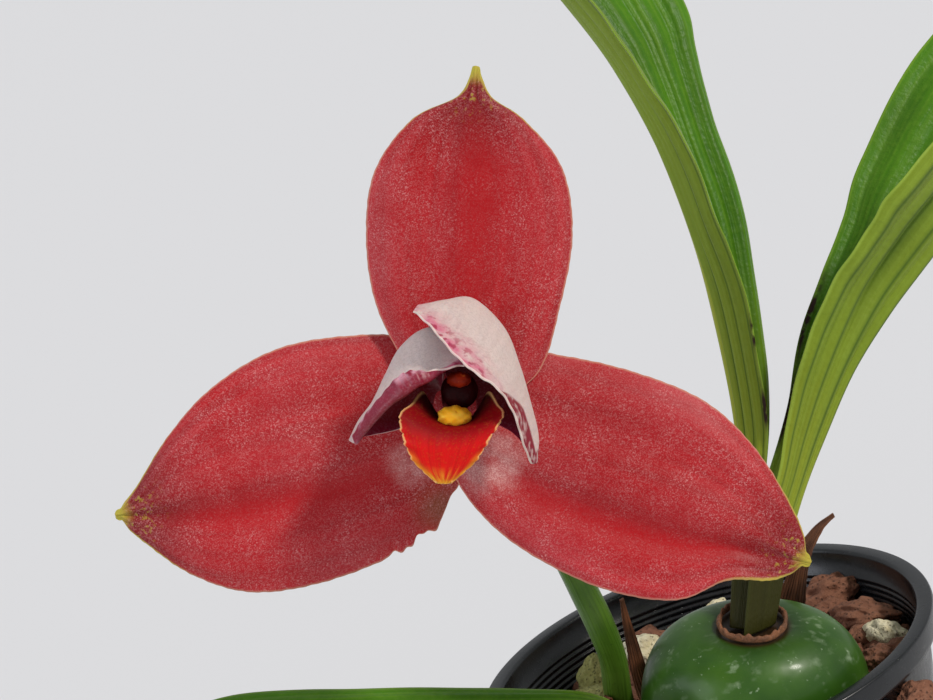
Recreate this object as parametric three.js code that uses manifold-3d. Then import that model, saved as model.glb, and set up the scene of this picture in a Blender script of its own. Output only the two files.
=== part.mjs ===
// Potted lycaste orchid: one pseudobulb with two plicate leaves, a low leaf and a
// single open flower, standing in a round plastic pot of mineral grit.
//
// Millimetres, +Z up. The origin is the centre of the pot's flat underside.
// The flower faces -Y, so a viewer in front of it looks along +Y.

import * as THREE from 'three';
import { mergeVertices } from 'three/addons/utils/BufferGeometryUtils.js';
import Module from 'manifold-3d';

const wasm = await Module();
wasm.setup();

// Pot
const POT_HEIGHT = 90;
const POT_RIM_RADIUS = 52.5;
const POT_NECK_RADIUS = 50;
const POT_BASE_RADIUS = 38;
const POT_WALL = 1.4;
const POT_RIM_HEIGHT = 5.5;
const POT_SIDES = 40;
const DRAIN_HOLES = 6;
const DRAIN_RADIUS = 3.5;
const DRAIN_CIRCLE = 24;

// Growing medium: a bed of broken lava with a few pieces of pumice on it
const MEDIUM_TOP = 76.5;
const CLEARANCE = 0.35;
const LAVA_CHUNKS = 34;
const LAVA_SIZE = [4.4, 7.4];
const LAVA_BEDDED = [0.6, 2.2];
const LAVA_SEED = 100;
const SCATTER_SEED = 41;
const PUMICE_SEED = 7;
const STONE_DENT = [0.84, 1.16];

// Pseudobulb: apex is the top of its axis, where the leaves stand
const BULB_APEX = [11.4, -26.4, 103.2];
const BULB_AXIS = [0.22, -0.2, 0.955];
const BULB_HEIGHT = 46;
const BULB_HALF_WIDTH = 25.2;
const BULB_HALF_DEPTH = 20.4;
const BULB_SHOULDER = 25.5;
const BULB_CROWN = 1.2;
const SHOULDER_POWER = 3;
const BELLY_POWER = 2.2;
const NECK_HOLLOW_DEPTH = 2;
const NECK_HOLLOW_REACH = 9;
const NECK_COLLAR_RADIUS = 7.7;
const NECK_COLLAR_WALL = 1;
const NECK_COLLAR_HEIGHTS = [0.5, 2.3];

// Foliage and stems
const LEAF_THICKNESS = 0.8;
const SHEATH_THICKNESS = 0.7;
const SCAPE_RADIUS = 3;
const OVARY_RADIUS = 3.1;
const OVARY_SWELL = 0.7;

// Flower: the middle of the bloom, and how it is turned from facing straight up
const FLOWER_CENTRE = [-31.3, -68.6, 183.3];
const FLOWER_TILT = 74;
const FLOWER_TURN = 3;
const FLOWER_LEAN = -18.3;
const SEPAL_THICKNESS = 1;
const PETAL_THICKNESS = 0.8;
const LIP_THICKNESS = 0.9;
const COLUMN_RADIUS = 3;
const COLUMN_FLARE = 0.28;
const ANTHER_PLACE = [0.6, 5.2, 22.1];
const ANTHER_HALF_SIZE = [2.3, 1.5, 1.6];
const CALLUS_PLACE = [-0.15, -1.6, 23.4];
const CALLUS_HALF_SIZE = [3.2, 2, 2.7];

const COLOURS = {
  pot: 0x1c2226, lava: 0x6b4435, pumice: 0xd6c9a4, bulb: 0x2f6a1f, rhizome: 0x6a5a3a,
  leaf: 0x4f8a2a, sheath: 0x8a5a3a, scape: 0x6f8f2e, sepal: 0xb0283a, petal: 0xe6c9c6,
  lip: 0xc8321c, column: 0x5a0a14, anther: 0x8a3a1c, bract: 0x8aa03c,
};

const orchid = new THREE.Group();

// General helpers

const vec = (a) => new THREE.Vector3(a[0], a[1], a[2]);
const curve = (points) => new THREE.CatmullRomCurve3(points.map(vec), false, 'centripetal');

/** Value at t (0 to 1) of a list of evenly spaced heights, joined smoothly. */
function along(values, t) {
  const x = t * (values.length - 1);
  const i = Math.min(Math.floor(x), values.length - 2);
  const f = x - i;
  const at = (k) => values[Math.max(0, Math.min(values.length - 1, k))];
  const [p, q, r, s] = [at(i - 1), at(i), at(i + 1), at(i + 2)];
  const a = 2 * q;
  const b = r - p;
  const c = 2 * p - 5 * q + 4 * r - s;
  const d = 3 * q - p - 3 * r + s;
  return 0.5 * (a + b * f + c * f * f + d * f * f * f);
}

/** Point at index-spaced t (0 to 1) of a list of points, joined smoothly. */
function pointAlong(points, t) {
  return new THREE.Vector3(...[0, 1, 2].map((k) => along(points.map((p) => p[k]), t)));
}

/** A repeatable stream of numbers between 0 and 1. */
function seeded(seed) {
  let state = seed;
  return () => {
    state = (state * 1664525 + 1013904223) % 4294967296;
    return state / 4294967296;
  };
}

function bare(geometry) {
  geometry.deleteAttribute('normal');
  geometry.deleteAttribute('uv');
  return mergeVertices(geometry, 1e-4);
}

/** Solid from a closed geometry. */
function solid(geometry) {
  const g = bare(geometry.clone());
  return new wasm.Manifold(new wasm.Mesh({
    numProp: 3,
    vertProperties: new Float32Array(g.attributes.position.array),
    triVerts: new Uint32Array(g.index.array),
  }));
}

/** Geometry from a solid, with loose scraps left out. */
function shapeOf(manifold) {
  const pieces = manifold.decompose();
  const largest = pieces.reduce((a, b) => (a.volume() > b.volume() ? a : b));
  const mesh = largest.getMesh();
  const g = new THREE.BufferGeometry();
  g.setAttribute('position', new THREE.BufferAttribute(new Float32Array(mesh.vertProperties), 3));
  g.setIndex(new THREE.BufferAttribute(new Uint32Array(mesh.triVerts), 1));
  g.computeVertexNormals();
  return g;
}

/** Adds one named sub-part to a group. */
function add(group, name, geometry, colour, roughness = 0.6) {
  geometry.computeVertexNormals();
  const material = new THREE.MeshStandardMaterial({ color: colour, roughness, metalness: 0 });
  const mesh = new THREE.Mesh(geometry, material);
  mesh.name = name;
  group.add(mesh);
  return mesh;
}

/**
 * Closed blade of even thickness round a middle surface(u, v), with u from 0 to 1
 * along it and v from -1 to 1 across it. Both faces are split into triangles alike.
 */
function blade(surface, rows, columns, thickness) {
  const step = 1e-3;
  const front = [];
  const back = [];
  for (let i = 0; i <= rows; i += 1) {
    for (let j = 0; j <= columns; j += 1) {
      const u = i / rows;
      const v = -1 + (2 * j) / columns;
      const p = surface(u, v);
      const du = surface(Math.min(1, u + step), v).sub(surface(Math.max(0, u - step), v));
      const dv = surface(u, Math.min(1, v + step)).sub(surface(u, Math.max(-1, v - step)));
      const normal = du.normalize().cross(dv.normalize()).normalize();
      front.push(p.clone().addScaledVector(normal, thickness / 2));
      back.push(p.clone().addScaledVector(normal, -thickness / 2));
    }
  }
  const width = columns + 1;
  const count = front.length;
  const index = [];
  for (let i = 0; i < rows; i += 1) {
    for (let j = 0; j < columns; j += 1) {
      const a = i * width + j;
      const [b, c, d] = [a + 1, a + width, a + width + 1];
      const split = (i + j) % 2 ? [[a, c, b], [b, c, d]] : [[a, c, d], [a, d, b]];
      split.forEach(([p, q, r]) => {
        index.push(p, q, r, p + count, r + count, q + count);
      });
    }
  }
  const edge = [];
  for (let j = 0; j < columns; j += 1) edge.push(j);
  for (let i = 0; i < rows; i += 1) edge.push(i * width + columns);
  for (let j = columns; j > 0; j -= 1) edge.push(rows * width + j);
  for (let i = rows; i > 0; i -= 1) edge.push(i * width);
  edge.forEach((a, k) => {
    const b = edge[(k + 1) % edge.length];
    index.push(a, b, b + count, a, b + count, a + count);
  });
  const g = new THREE.BufferGeometry().setFromPoints(front.concat(back));
  g.setIndex(index);
  return outward(g);
}

/** The same closed geometry with its faces pointing out. */
function outward(geometry) {
  const p = geometry.attributes.position;
  const t = geometry.index.array;
  const [a, b, c] = [new THREE.Vector3(), new THREE.Vector3(), new THREE.Vector3()];
  let volume = 0;
  for (let i = 0; i < t.length; i += 3) {
    a.fromBufferAttribute(p, t[i]);
    b.fromBufferAttribute(p, t[i + 1]);
    c.fromBufferAttribute(p, t[i + 2]);
    volume += a.dot(b.cross(c)) / 6;
  }
  if (volume < 0) {
    for (let i = 0; i < t.length; i += 3) [t[i + 1], t[i + 2]] = [t[i + 2], t[i + 1]];
  }
  return geometry;
}

/**
 * Closed round stem along a list of points, with radius(t) at each share of its length.
 * Its two ends are carried on by extra, for a hole that is that much wider all round.
 */
function stem(points, radius, steps, sides, extra = 0) {
  const run = points.map(vec);
  const past = (end, next) => end.clone().add(end.clone().sub(next).setLength(extra));
  if (extra > 0) {
    run[0] = past(run[0], run[1]);
    run[run.length - 1] = past(run[run.length - 1], run[run.length - 2]);
  }
  const path = curve(run.map((p) => p.toArray()));
  const frames = path.computeFrenetFrames(steps, false);
  const vertices = [];
  for (let i = 0; i <= steps; i += 1) {
    const centre = path.getPointAt(i / steps);
    const r = radius(i / steps);
    for (let j = 0; j < sides; j += 1) {
      const angle = (2 * Math.PI * j) / sides;
      vertices.push(centre.clone()
        .addScaledVector(frames.normals[i], r * Math.cos(angle))
        .addScaledVector(frames.binormals[i], r * Math.sin(angle)));
    }
  }
  const first = vertices.push(path.getPointAt(0)) - 1;
  const last = vertices.push(path.getPointAt(1)) - 1;
  const index = [];
  for (let i = 0; i < steps; i += 1) {
    for (let j = 0; j < sides; j += 1) {
      const a = i * sides + j;
      const b = i * sides + ((j + 1) % sides);
      index.push(a, b, b + sides, a, b + sides, a + sides);
    }
  }
  for (let j = 0; j < sides; j += 1) {
    const k = (j + 1) % sides;
    index.push(first, k, j, last, steps * sides + j, steps * sides + k);
  }
  const g = new THREE.BufferGeometry().setFromPoints(vertices);
  g.setIndex(index);
  return outward(g);
}

/** Closed body of revolution from [radius, height] pairs that start and end on the axis. */
function turned(profile, sides) {
  const points = profile.map(([r, z]) => new THREE.Vector2(r, z));
  const g = new THREE.LatheGeometry(points, sides);
  g.rotateX(Math.PI / 2);
  return outward(bare(g));
}

// Pot: a tapered nursery pot with a rolled rim, steps inside and drainage holes

function potGeometry() {
  const neckZ = POT_HEIGHT - POT_RIM_HEIGHT;
  const slope = (POT_NECK_RADIUS - POT_BASE_RADIUS) / neckZ;
  const outer = (z) => POT_BASE_RADIUS + slope * z;
  const inner = (z) => outer(z) - POT_WALL;
  const profile = [
    [0, 0], [POT_BASE_RADIUS - 2, 0], [POT_BASE_RADIUS, 2], [outer(neckZ), neckZ],
    [POT_RIM_RADIUS - 0.8, neckZ], [POT_RIM_RADIUS, neckZ + 1.2],
    [POT_RIM_RADIUS, POT_HEIGHT - 1], [POT_RIM_RADIUS - 0.9, POT_HEIGHT],
    [POT_NECK_RADIUS - POT_WALL + 0.9, POT_HEIGHT], [POT_NECK_RADIUS - POT_WALL, POT_HEIGHT - 1],
    [inner(neckZ), neckZ], [inner(3), 3], [inner(3) - 1.5, POT_WALL], [0, POT_WALL],
  ];
  let pot = solid(turned(profile, POT_SIDES));
  for (let i = 0; i < DRAIN_HOLES; i += 1) {
    const angle = ((i + 0.5) * 2 * Math.PI) / DRAIN_HOLES;
    const drill = new THREE.CylinderGeometry(DRAIN_RADIUS, DRAIN_RADIUS, 8, 12);
    drill.rotateX(Math.PI / 2);
    drill.translate(DRAIN_CIRCLE * Math.cos(angle), DRAIN_CIRCLE * Math.sin(angle), 0);
    pot = pot.subtract(solid(drill));
  }
  return shapeOf(pot);
}

/** Egg-shaped body with a given middle and half-sizes. */
function egg(middle, halfSize) {
  const g = new THREE.SphereGeometry(1, 12, 8);
  g.scale(...halfSize);
  g.translate(...middle);
  return outward(bare(g));
}

// Broken stone: an uneven lump with flat facets

function stone(centre, size, seed, stretch = [1, 1, 0.8], detail = 0) {
  const random = seeded(seed);
  const g = bare(new THREE.IcosahedronGeometry(1, detail));
  const p = g.attributes.position;
  const turn = new THREE.Euler(...[0, 1, 2].map(() => 2 * Math.PI * random()));
  for (let i = 0; i < p.count; i += 1) {
    const dent = THREE.MathUtils.lerp(...STONE_DENT, random());
    const point = new THREE.Vector3().fromBufferAttribute(p, i).multiplyScalar(size * dent);
    point.applyEuler(turn).multiply(vec(stretch)).add(vec(centre));
    p.setXYZ(i, point.x, point.y, point.z);
  }
  return g;
}

// Pseudobulb: broad-shouldered, a little hollow round the leaf bases

function bulbGeometry(extra = 0) {
  const width = BULB_HALF_WIDTH + extra;
  const belly = BULB_HEIGHT - BULB_SHOULDER;
  const profile = [];
  const rings = 15;
  for (let i = 0; i <= rings; i += 1) {
    const angle = -Math.PI / 2 + (Math.PI * i) / rings;
    const up = Math.sin(angle) > 0;
    const power = up ? SHOULDER_POWER : BELLY_POWER;
    const height = (up ? BULB_SHOULDER : belly) + extra;
    const radius = width * Math.max(0, Math.cos(angle)) ** (2 / power);
    const rise = Math.sign(angle) * height * Math.abs(Math.sin(angle)) ** (2 / power);
    const hollow = up ? NECK_HOLLOW_DEPTH * Math.exp(-((radius / NECK_HOLLOW_REACH) ** 2)) : 0;
    profile.push([i === 0 || i === rings ? 0 : radius, belly + rise + BULB_CROWN - hollow]);
  }
  const g = turned(profile, 28);
  g.scale(1, (BULB_HALF_DEPTH + extra) / width, 1);
  g.translate(0, 0, -BULB_HEIGHT);
  return g;
}

function placedOnBulb(geometry) {
  const turn = new THREE.Quaternion().setFromUnitVectors(vec([0, 0, 1]), vec(BULB_AXIS).normalize());
  geometry.applyQuaternion(turn);
  geometry.translate(...BULB_APEX);
  return geometry;
}

// Neck collar: the dry brown ring left where the outer sheath broke off

function collarGeometry() {
  const inside = NECK_COLLAR_RADIUS - NECK_COLLAR_WALL;
  const [foot, top] = NECK_COLLAR_HEIGHTS;
  const profile = [
    [inside, foot], [NECK_COLLAR_RADIUS, foot], [NECK_COLLAR_RADIUS, (foot + top) / 2],
    [NECK_COLLAR_RADIUS - NECK_COLLAR_WALL / 2, top], [inside, top], [inside, foot],
  ];
  return placedOnBulb(turned(profile, 24));
}

// Leaves: each station is [keel, near margin, far margin]. The blade is folded along
// its keel, ribbed lengthwise, and waves along its margins.

const LEAF_LEFT = [
  [[6.9, -26.5, 104.5], [10, -28.1, 103.5], [10, -25.1, 104.1]],
  [[11.6, -23, 116.9], [15.8, -24.8, 116.3], [15.8, -20.6, 116.1]],
  [[18.8, -17.3, 135.1], [24.5, -19.9, 134.9], [25, -14.5, 133.5]],
  [[21.9, -12.6, 147.4], [28.3, -21.1, 149.3], [31.1, -4.6, 148]],
  [[24.1, -5.7, 167.4], [31.5, -16.4, 172.2], [35, 3.9, 166.1]],
  [[24.8, 0.6, 181.9], [29.6, -13.7, 189.2], [37.6, 13.2, 183.5]],
  [[23.9, 7.6, 199.3], [28.2, -10.5, 208.1], [37.6, 22.3, 200.8]],
  [[21.5, 14, 214.8], [24, -9.1, 224.3], [38.7, 29.6, 215.1]],
  [[17.7, 19.8, 228.3], [17.9, -6.2, 239.4], [39.3, 35.8, 225.6]],
  [[8.2, 30.9, 250.4], [6.1, 5, 262.4], [33.8, 49.5, 249]],
  [[-3.9, 39.8, 269.3], [-6.6, 17.9, 280.3], [18.2, 58.8, 269.5]],
  [[-23.3, 48.5, 288.4], [-26.1, 34, 296.7], [-9.7, 63.3, 290.2]],
  [[-45.9, 53.2, 301.7], [-45.3, 51.7, 303.5], [-44.9, 54.9, 300.3]],
];

const LEAF_RIGHT = [
  [[16.2, -26.5, 102.6], [8.8, -31.2, 103.3], [8.8, -22.1, 105.2]],
  [[24.2, -22.4, 117.2], [15.9, -27.6, 119.3], [15.9, -17.6, 119.5]],
  [[30.8, -18.1, 126.5], [25, -23.4, 131.5], [25.8, -10.4, 131]],
  [[39, -14, 135.8], [32.1, -20.2, 144.3], [33.4, -5.4, 141.3]],
  [[48.6, -9.5, 145.9], [40.4, -18.2, 157.1], [40.5, 2.4, 152.6]],
  [[59.4, -4.6, 153.9], [49.6, -15.5, 168.6], [49.6, 9.9, 162.8]],
  [[68.8, -0.3, 159.8], [59.5, -14.8, 176.3], [58, 17, 171.1]],
  [[78.7, 4, 165.7], [68.1, -14.5, 183], [66.4, 24.4, 181]],
  [[97.5, 13.1, 175.8], [87.6, -5.4, 193.1], [87.7, 37.7, 198.2]],
  [[120.8, 21.1, 181.4], [113.4, 5.7, 201.6], [117, 47.6, 208.9]],
  [[147.7, 30, 182.1], [143.4, 18.5, 200.8], [150.8, 54, 207.2]],
  [[168.4, 35.3, 178.7], [167.8, 28.5, 191.4], [175.6, 52.8, 194.8]],
  [[193.3, 39.7, 167.5], [193, 38, 169.1], [194.1, 41.3, 166]],
];

const LEAF_LOW = [
  [[-19.6, -35.7, 71], [-22.4, -37.4, 71.4], [-18.8, -32.4, 71.6]],
  [[-21.5, -37.6, 90], [-25.4, -39.3, 91], [-20.3, -33, 92]],
  [[-28, -55, 104], [-34, -65, 106], [-23.5, -48.5, 108]],
  [[-48, -68, 111.5], [-56, -82, 116], [-41, -52, 117.5]],
  [[-75, -72, 119], [-82, -89, 125], [-70, -52.4, 127]],
  [[-100, -73, 123.5], [-106, -88, 129], [-98, -52, 134]],
  [[-125, -71, 122], [-130, -82, 127], [-124, -57, 131]],
  [[-150, -69, 113], [-151, -70.5, 113.6], [-149.6, -67.4, 114.2]],
];

// Share of a leaf's length that stays furled, and where its near half sinks
const FURLED = 0.1;
const FAR_MARGIN_WAVES = 0.35;
const VALLEY_PLACE = 0.55;
const VALLEY_WIDTH = 0.2;
const VALLEY_START = [0.3, 0.5];
const LEFT_FORM = { ribs: 4, ribDepth: 0.55, waves: 4, waveDepth: 0.7, round: 0.35, valley: 0 };
const RIGHT_FORM = { ribs: 4, ribDepth: 0.55, waves: 4, waveDepth: 0.7, round: 0.35, valley: 2.6 };
const SHORT_FORM = { ribs: 3, ribDepth: 0.5, waves: 3, waveDepth: 0.8, round: 0.5, valley: 0 };

const SCAPE_SOCKET = [[-21.3, -10.6, 75.5], [-21.2, -11.4, 81], [-21, -17, 90]];
const SCAPE_SOCKET_RADIUS = 5.4;
const LOW_LEAF_SOCKET = [[-20.4, -34.9, 70.6], [-20.6, -35, 76], [-20.8, -35.2, 84]];
const LOW_LEAF_SOCKET_RADIUS = 4.6;

/**
 * Middle surface of a folded, ribbed leaf with a rounded keel. Its near half sinks into
 * a valley, and its margins wave, the far one less.
 */
function leafSurface(stations, { ribs, ribDepth, waves, waveDepth, round, valley }) {
  const [keels, nears, fars] = [0, 1, 2].map((k) => stations.map((s) => s[k]));
  const rest = Math.sqrt(1 + round * round) - round;
  const folded = (u, v) => {
    const keel = pointAlong(keels, u);
    const near = pointAlong(nears, u).sub(keel);
    const far = pointAlong(fars, u).sub(keel);
    const open = near.clone().add(far).multiplyScalar(0.5);
    const side = far.sub(near).multiplyScalar(0.5);
    const rise = (Math.sqrt(v * v + round * round) - round) / rest;
    return keel.addScaledVector(open, rise).addScaledVector(side, v);
  };
  return (u, v) => {
    const step = 0.01;
    const du = folded(Math.min(1, u + step), v).sub(folded(Math.max(0, u - step), v));
    const dv = folded(u, Math.min(1, v + step)).sub(folded(u, Math.max(-1, v - step)));
    const normal = du.cross(dv).normalize();
    const grown = Math.sin(Math.PI * Math.min(1, Math.max(0, (u - FURLED) / (1 - FURLED)))) ** 0.7;
    const s = Math.abs(v);
    const rib = (Math.abs(((s * ribs) % 1) - 0.5) * 4 - 1) * ribDepth * grown;
    const calm = v > 0 ? FAR_MARGIN_WAVES : 1;
    const wave = waveDepth * calm * grown * s ** 3 * Math.sin(2 * Math.PI * waves * u);
    const across = Math.exp(-(((v + VALLEY_PLACE) / VALLEY_WIDTH) ** 2));
    const opened = THREE.MathUtils.smoothstep(u, ...VALLEY_START);
    return folded(u, v).addScaledVector(normal, rib + wave + valley * across * opened * grown);
  };
}

function leafGeometry(stations, form, rows, columns) {
  return blade(leafSurface(stations, form), rows, columns, LEAF_THICKNESS);
}

// Dry sheaths and bracts: narrow channelled blades along a path

/** Points that run beside a stem at a given distance from its middle. */
function beside(points, from, to, facing, distance) {
  const path = curve(points);
  const face = vec(facing).normalize();
  return [0, 0.25, 0.5, 0.75, 1].map((share) => path
    .getPointAt(from + (to - from) * share)
    .addScaledVector(face, distance)
    .toArray());
}

function sheathGeometry(points, halfWidth, facing, wrap, thickness = SHEATH_THICKNESS) {
  const path = curve(points);
  const face = vec(facing).normalize();
  return blade((u, v) => {
    const tangent = path.getTangentAt(u);
    const side = new THREE.Vector3().crossVectors(tangent, face).normalize();
    const out = new THREE.Vector3().crossVectors(side, tangent).normalize();
    const half = along(halfWidth, u);
    const angle = (v * along(wrap, u) * Math.PI) / 180;
    const radius = half / Math.sin(Math.min(Math.PI / 2, (along(wrap, u) * Math.PI) / 180));
    return path.getPointAt(u)
      .addScaledVector(side, radius * Math.sin(angle))
      .addScaledVector(out, radius * (Math.cos(angle) - 1));
  }, 9, 4, thickness);
}

// Roots and rhizome under the surface

const RHIZOME_PATH = [[3, -19, 54.6], [-8, -15.5, 54.6], [-21.4, -9.9, 57.3]];
const RHIZOME_RADIUS = [4.6, 3.4];
const ROOT_RADIUS = 1.5;
const ROOTS = [
  [[0, -21, 51], [6, -26, 38], [14, -24, 22], [16, -16, 12]],
  [[-6, -20, 52], [-14, -28, 40], [-20, -26, 24], [-14, -20, 12]],
  [[-14, -17, 54], [-26, -6, 44], [-30, 6, 28], [-22, 14, 14]],
  [[-2, -20, 52], [4, -6, 40], [12, 10, 26], [6, 20, 12]],
];

function rhizomeSolid(extra = 0) {
  const radius = (t) => THREE.MathUtils.lerp(...RHIZOME_RADIUS, t) + extra;
  const body = stem(RHIZOME_PATH, radius, 6, 8, extra);
  const roots = ROOTS.map((points) => solid(stem(points, () => ROOT_RADIUS + extra, 7, 5, extra)));
  return roots.reduce((all, root) => all.add(root), solid(body));
}

// Flower scape: round, leaning, with a sheath at its foot

const SCAPE_PATH = [
  [-21.4, -9.8, 61.5], [-21.2, -11.4, 81], [-20.7, -21.2, 94.4], [-19.1, -30, 107],
  [-19.2, -37.6, 118.4], [-20.1, -42.9, 129.1], [-21.6, -46.8, 141.5],
  [-24.4, -49.6, 153.7], [-27.8, -51.3, 163.2], [-31, -52.9, 170.5],
];

function scapeGeometry(extra = 0) {
  return stem(SCAPE_PATH, () => SCAPE_RADIUS + extra, 22, 10, extra);
}

// Each sheath has its spine's path, the way its back faces, and half-widths and
// half-wraps in degrees at even steps from foot to tip.
const SHEATHS = {
  sheath_behind_bulb: {
    path: [[16.5, 2.6, 77.2], [19.4, 1.4, 88], [23.1, -1.4, 97.6], [27.4, -2, 105.6],
      [32.2, 0.4, 109.3], [36.6, 3, 110.4]],
    facing: [0.3, 1, 0.1],
    half: [5.5, 5, 3.6, 2.4, 1.5, 0.5],
    wrap: [35, 35, 40, 40, 35, 30],
  },
  bract_beside_scape: {
    path: [[-13.8, -6.5, 77.6], [-14.8, -9.5, 91], [-14.5, -11.2, 101], [-14.2, -12.6, 107.5],
      [-13.8, -14, 113]],
    facing: [0.5, -1, 0],
    half: [2.6, 2.4, 1.9, 1.2, 0.45],
    wrap: [60, 60, 60, 50, 40],
  },
  scape_sheath: {
    path: beside(SCAPE_PATH, 0.15, 0.34, [-0.65, -0.75, -0.25], SCAPE_RADIUS + 1.1),
    facing: [-0.65, -0.75, -0.25],
    half: [4, 4, 3.9, 3, 0.8],
    wrap: [78, 78, 76, 60, 35],
  },
  floral_bract: {
    path: [[-28.6, -46.8, 163.6], [-31.4, -47.2, 170.2], [-34, -47.4, 177.5], [-36, -48.6, 185],
      [-37.4, -50.8, 192]],
    facing: [-0.2, 1, 0.3],
    half: [4.4, 4.9, 4.4, 2.8, 0.6],
    wrap: [110, 90, 70, 50, 40],
    colour: COLOURS.bract,
  },
};

/** The slot that a sheath's foot stands in. */
function sheathSlot({ path, facing, half, wrap }) {
  const foot = [[path[0][0], path[0][1], path[0][2] - 1], ...path.slice(1)];
  const wider = half.map((h) => h + 2 * CLEARANCE);
  return solid(sheathGeometry(foot, wider, facing, wrap, SHEATH_THICKNESS + 4 * CLEARANCE));
}

// The stem's last stretch, thickened and grooved, which carries the flower

function ovaryGeometry() {
  const path = [
    [-31.3, -53, 171.3], [-32.4, -53.3, 175.4], [-32.8, -55.6, 179],
    [-32.4, -59.3, 181.1], [-31.9, -63.1, 181.85],
  ];
  return stem(path, (t) => OVARY_RADIUS + OVARY_SWELL * t * t, 10, 12);
}

// Flower tepals. Outlines are half-lists in the flower's own plane: x to the right,
// y up, z towards the viewer. Each runs from the base to the tip.

const DORSAL = {
  mid: [[0, -2], [0.2, 6], [1, 18], [1.8, 32], [2.3, 44], [2.7, 54], [3.1, 59], [3.8, 64.8]],
  left: [[-5, -1], [-10, 8], [-15.6, 20], [-17.3, 33], [-15.6, 45], [-8.5, 54.6], [0.6, 59.1], [3.3, 64.7]],
  right: [[5, -1], [15.6, 6], [20, 19], [22.4, 33], [20.4, 45.5], [13.2, 54.4], [6.6, 59], [4.4, 64.6]],
  depth: [-0.6, 0, 0.8, 1.6, 2.8, 4, 4.2, 3],
  cup: 3,
};

const LATERAL_LEFT = {
  mid: [[2, -2], [-8, -5], [-20, -8.5], [-33, -11], [-45, -14], [-54, -16.5], [-61, -19.5], [-66, -21.3]],
  left: [[4, -6], [-3, -23], [-13, -29.6], [-27, -34.6], [-40, -36.1], [-51, -32.8], [-60, -26.8], [-65.8, -22]],
  right: [[1, 3], [-9, 12.4], [-21, 13.3], [-35, 10.6], [-47, 3.4], [-55.5, -6], [-62, -16.2], [-65.8, -20.7]],
  depth: [-4.1, -4.2, -2.4, -0.4, 0, -1, -3, -4.5],
  cup: 2.6,
};

const LATERAL_RIGHT = {
  mid: [[-2, -2], [7, -6], [19, -10.5], [32, -14.5], [45, -19], [55, -23.5], [62.5, -27.5], [68.5, -30.4]],
  left: [[-1, 3], [9, 10.5], [21, 9.4], [35, 6.1], [48, 0.6], [57.5, -8.3], [65.4, -21], [68.3, -29.7]],
  right: [[-4, -7], [3, -19], [13, -28], [28, -35.2], [42, -37.4], [52, -33.6], [61, -33.6], [68.2, -31.1]],
  depth: [-2.6, -2.2, -1.2, 0.4, 1, 0.4, -1.2, -3],
  cup: 2.6,
};

function tepalGeometry(form) {
  const flat = (list, u) => [along(list.map((p) => p[0]), u), along(list.map((p) => p[1]), u)];
  return blade((u, v) => {
    const [mx, my] = flat(form.mid, u);
    const [ex, ey] = flat(v < 0 ? form.left : form.right, u);
    const s = Math.abs(v);
    const swell = Math.sin(Math.PI * u) ** 1.4;
    const z = along(form.depth, u) - form.cup * swell * s * s + 0.5 * swell * Math.cos(s * 9);
    return new THREE.Vector3(mx + (ex - mx) * s, my + (ey - my) * s, z);
  }, 15, 10, SEPAL_THICKNESS);
}

// Petals: nets of curves from the claw, over the back of the hood, to the free margin.
// Each curve is a list of points from the claw outwards.

const PETAL_RIGHT = [
  [[-1.6, 4.6, 2.4], [-4.6, 13.6, 6], [-6.4, 18.5, 16], [-7.8, 17.8, 22]],
  [[-1, 4.8, 2.4], [-2.4, 15, 5.4], [-1.8, 19.7, 14.5], [-4.6, 14.9, 26.5]],
  [[0.4, 4.8, 2.4], [1.4, 15.4, 5], [3.2, 19.8, 13], [-0.6, 10.2, 30.6]],
  [[1.8, 4.4, 2.4], [5.8, 13, 4.8], [8.9, 14.2, 12.6], [3.4, 6.6, 33.6]],
  [[3.2, 3, 2.4], [8.8, 7.6, 4.8], [11.8, 7.3, 13], [7.8, 3.4, 32]],
  [[3.9, 1, 2.4], [10.8, 2.4, 5], [13.7, 0.8, 14], [10.6, -1, 30]],
  [[4, -0.8, 2.4], [11.6, -2, 5.8], [15.1, -5.2, 15], [12.4, -6.6, 26.4]],
  [[3.8, -2, 2.4], [10.6, -5, 6.6], [14.7, -9.6, 17], [14, -10.5, 21.6]],
];

const PETAL_LEFT = [
  [[-2.4, 3.2, 1.1], [-2, 8.3, 8], [0.6, 14.2, 15.4], [2.4, 11.4, 21.2], [1.6, 7.8, 26.6]],
  [[-3.2, 3, 1.1], [-5, 9.6, 6.2], [-5.6, 14.3, 14.4], [-4.2, 5.9, 25.6], [-4.6, 6.8, 27]],
  [[-3.9, 2.4, 1.1], [-8.4, 8.2, 5], [-10.2, 10.8, 12.6], [-6.9, 4.2, 27], [-8.2, 6.9, 27.4]],
  [[-4.3, 1.4, 1.1], [-10, 4.8, 5], [-13, 5.8, 12.6], [-9, 2.6, 27.4], [-10.9, 5.4, 26.8]],
  [[-4.5, 0.4, 1.1], [-11.4, 1.6, 5.2], [-15.4, 0.8, 13.4], [-12, 0.6, 26.4], [-13.6, 2.2, 25.2]],
  [[-4.5, -0.8, 1.1], [-12, -1.8, 5.6], [-17.8, -2.6, 14.6], [-15.4, -3, 24.6], [-16.6, -1.4, 23]],
  [[-4.3, -2, 1.1], [-11.4, -4.6, 6.4], [-19.2, -6, 16], [-18.4, -6.6, 21.6], [-18.9, -5.2, 20.2]],
];

function petalGeometry(net, rows) {
  return blade((u, v) => {
    const across = net.map((line) => pointAlong(line, u).toArray());
    return pointAlong(across, (v + 1) / 2);
  }, rows, 12, PETAL_THICKNESS);
}

// Lip: a channelled blade with upright side lobes, a hanging shield and a callus

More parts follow.
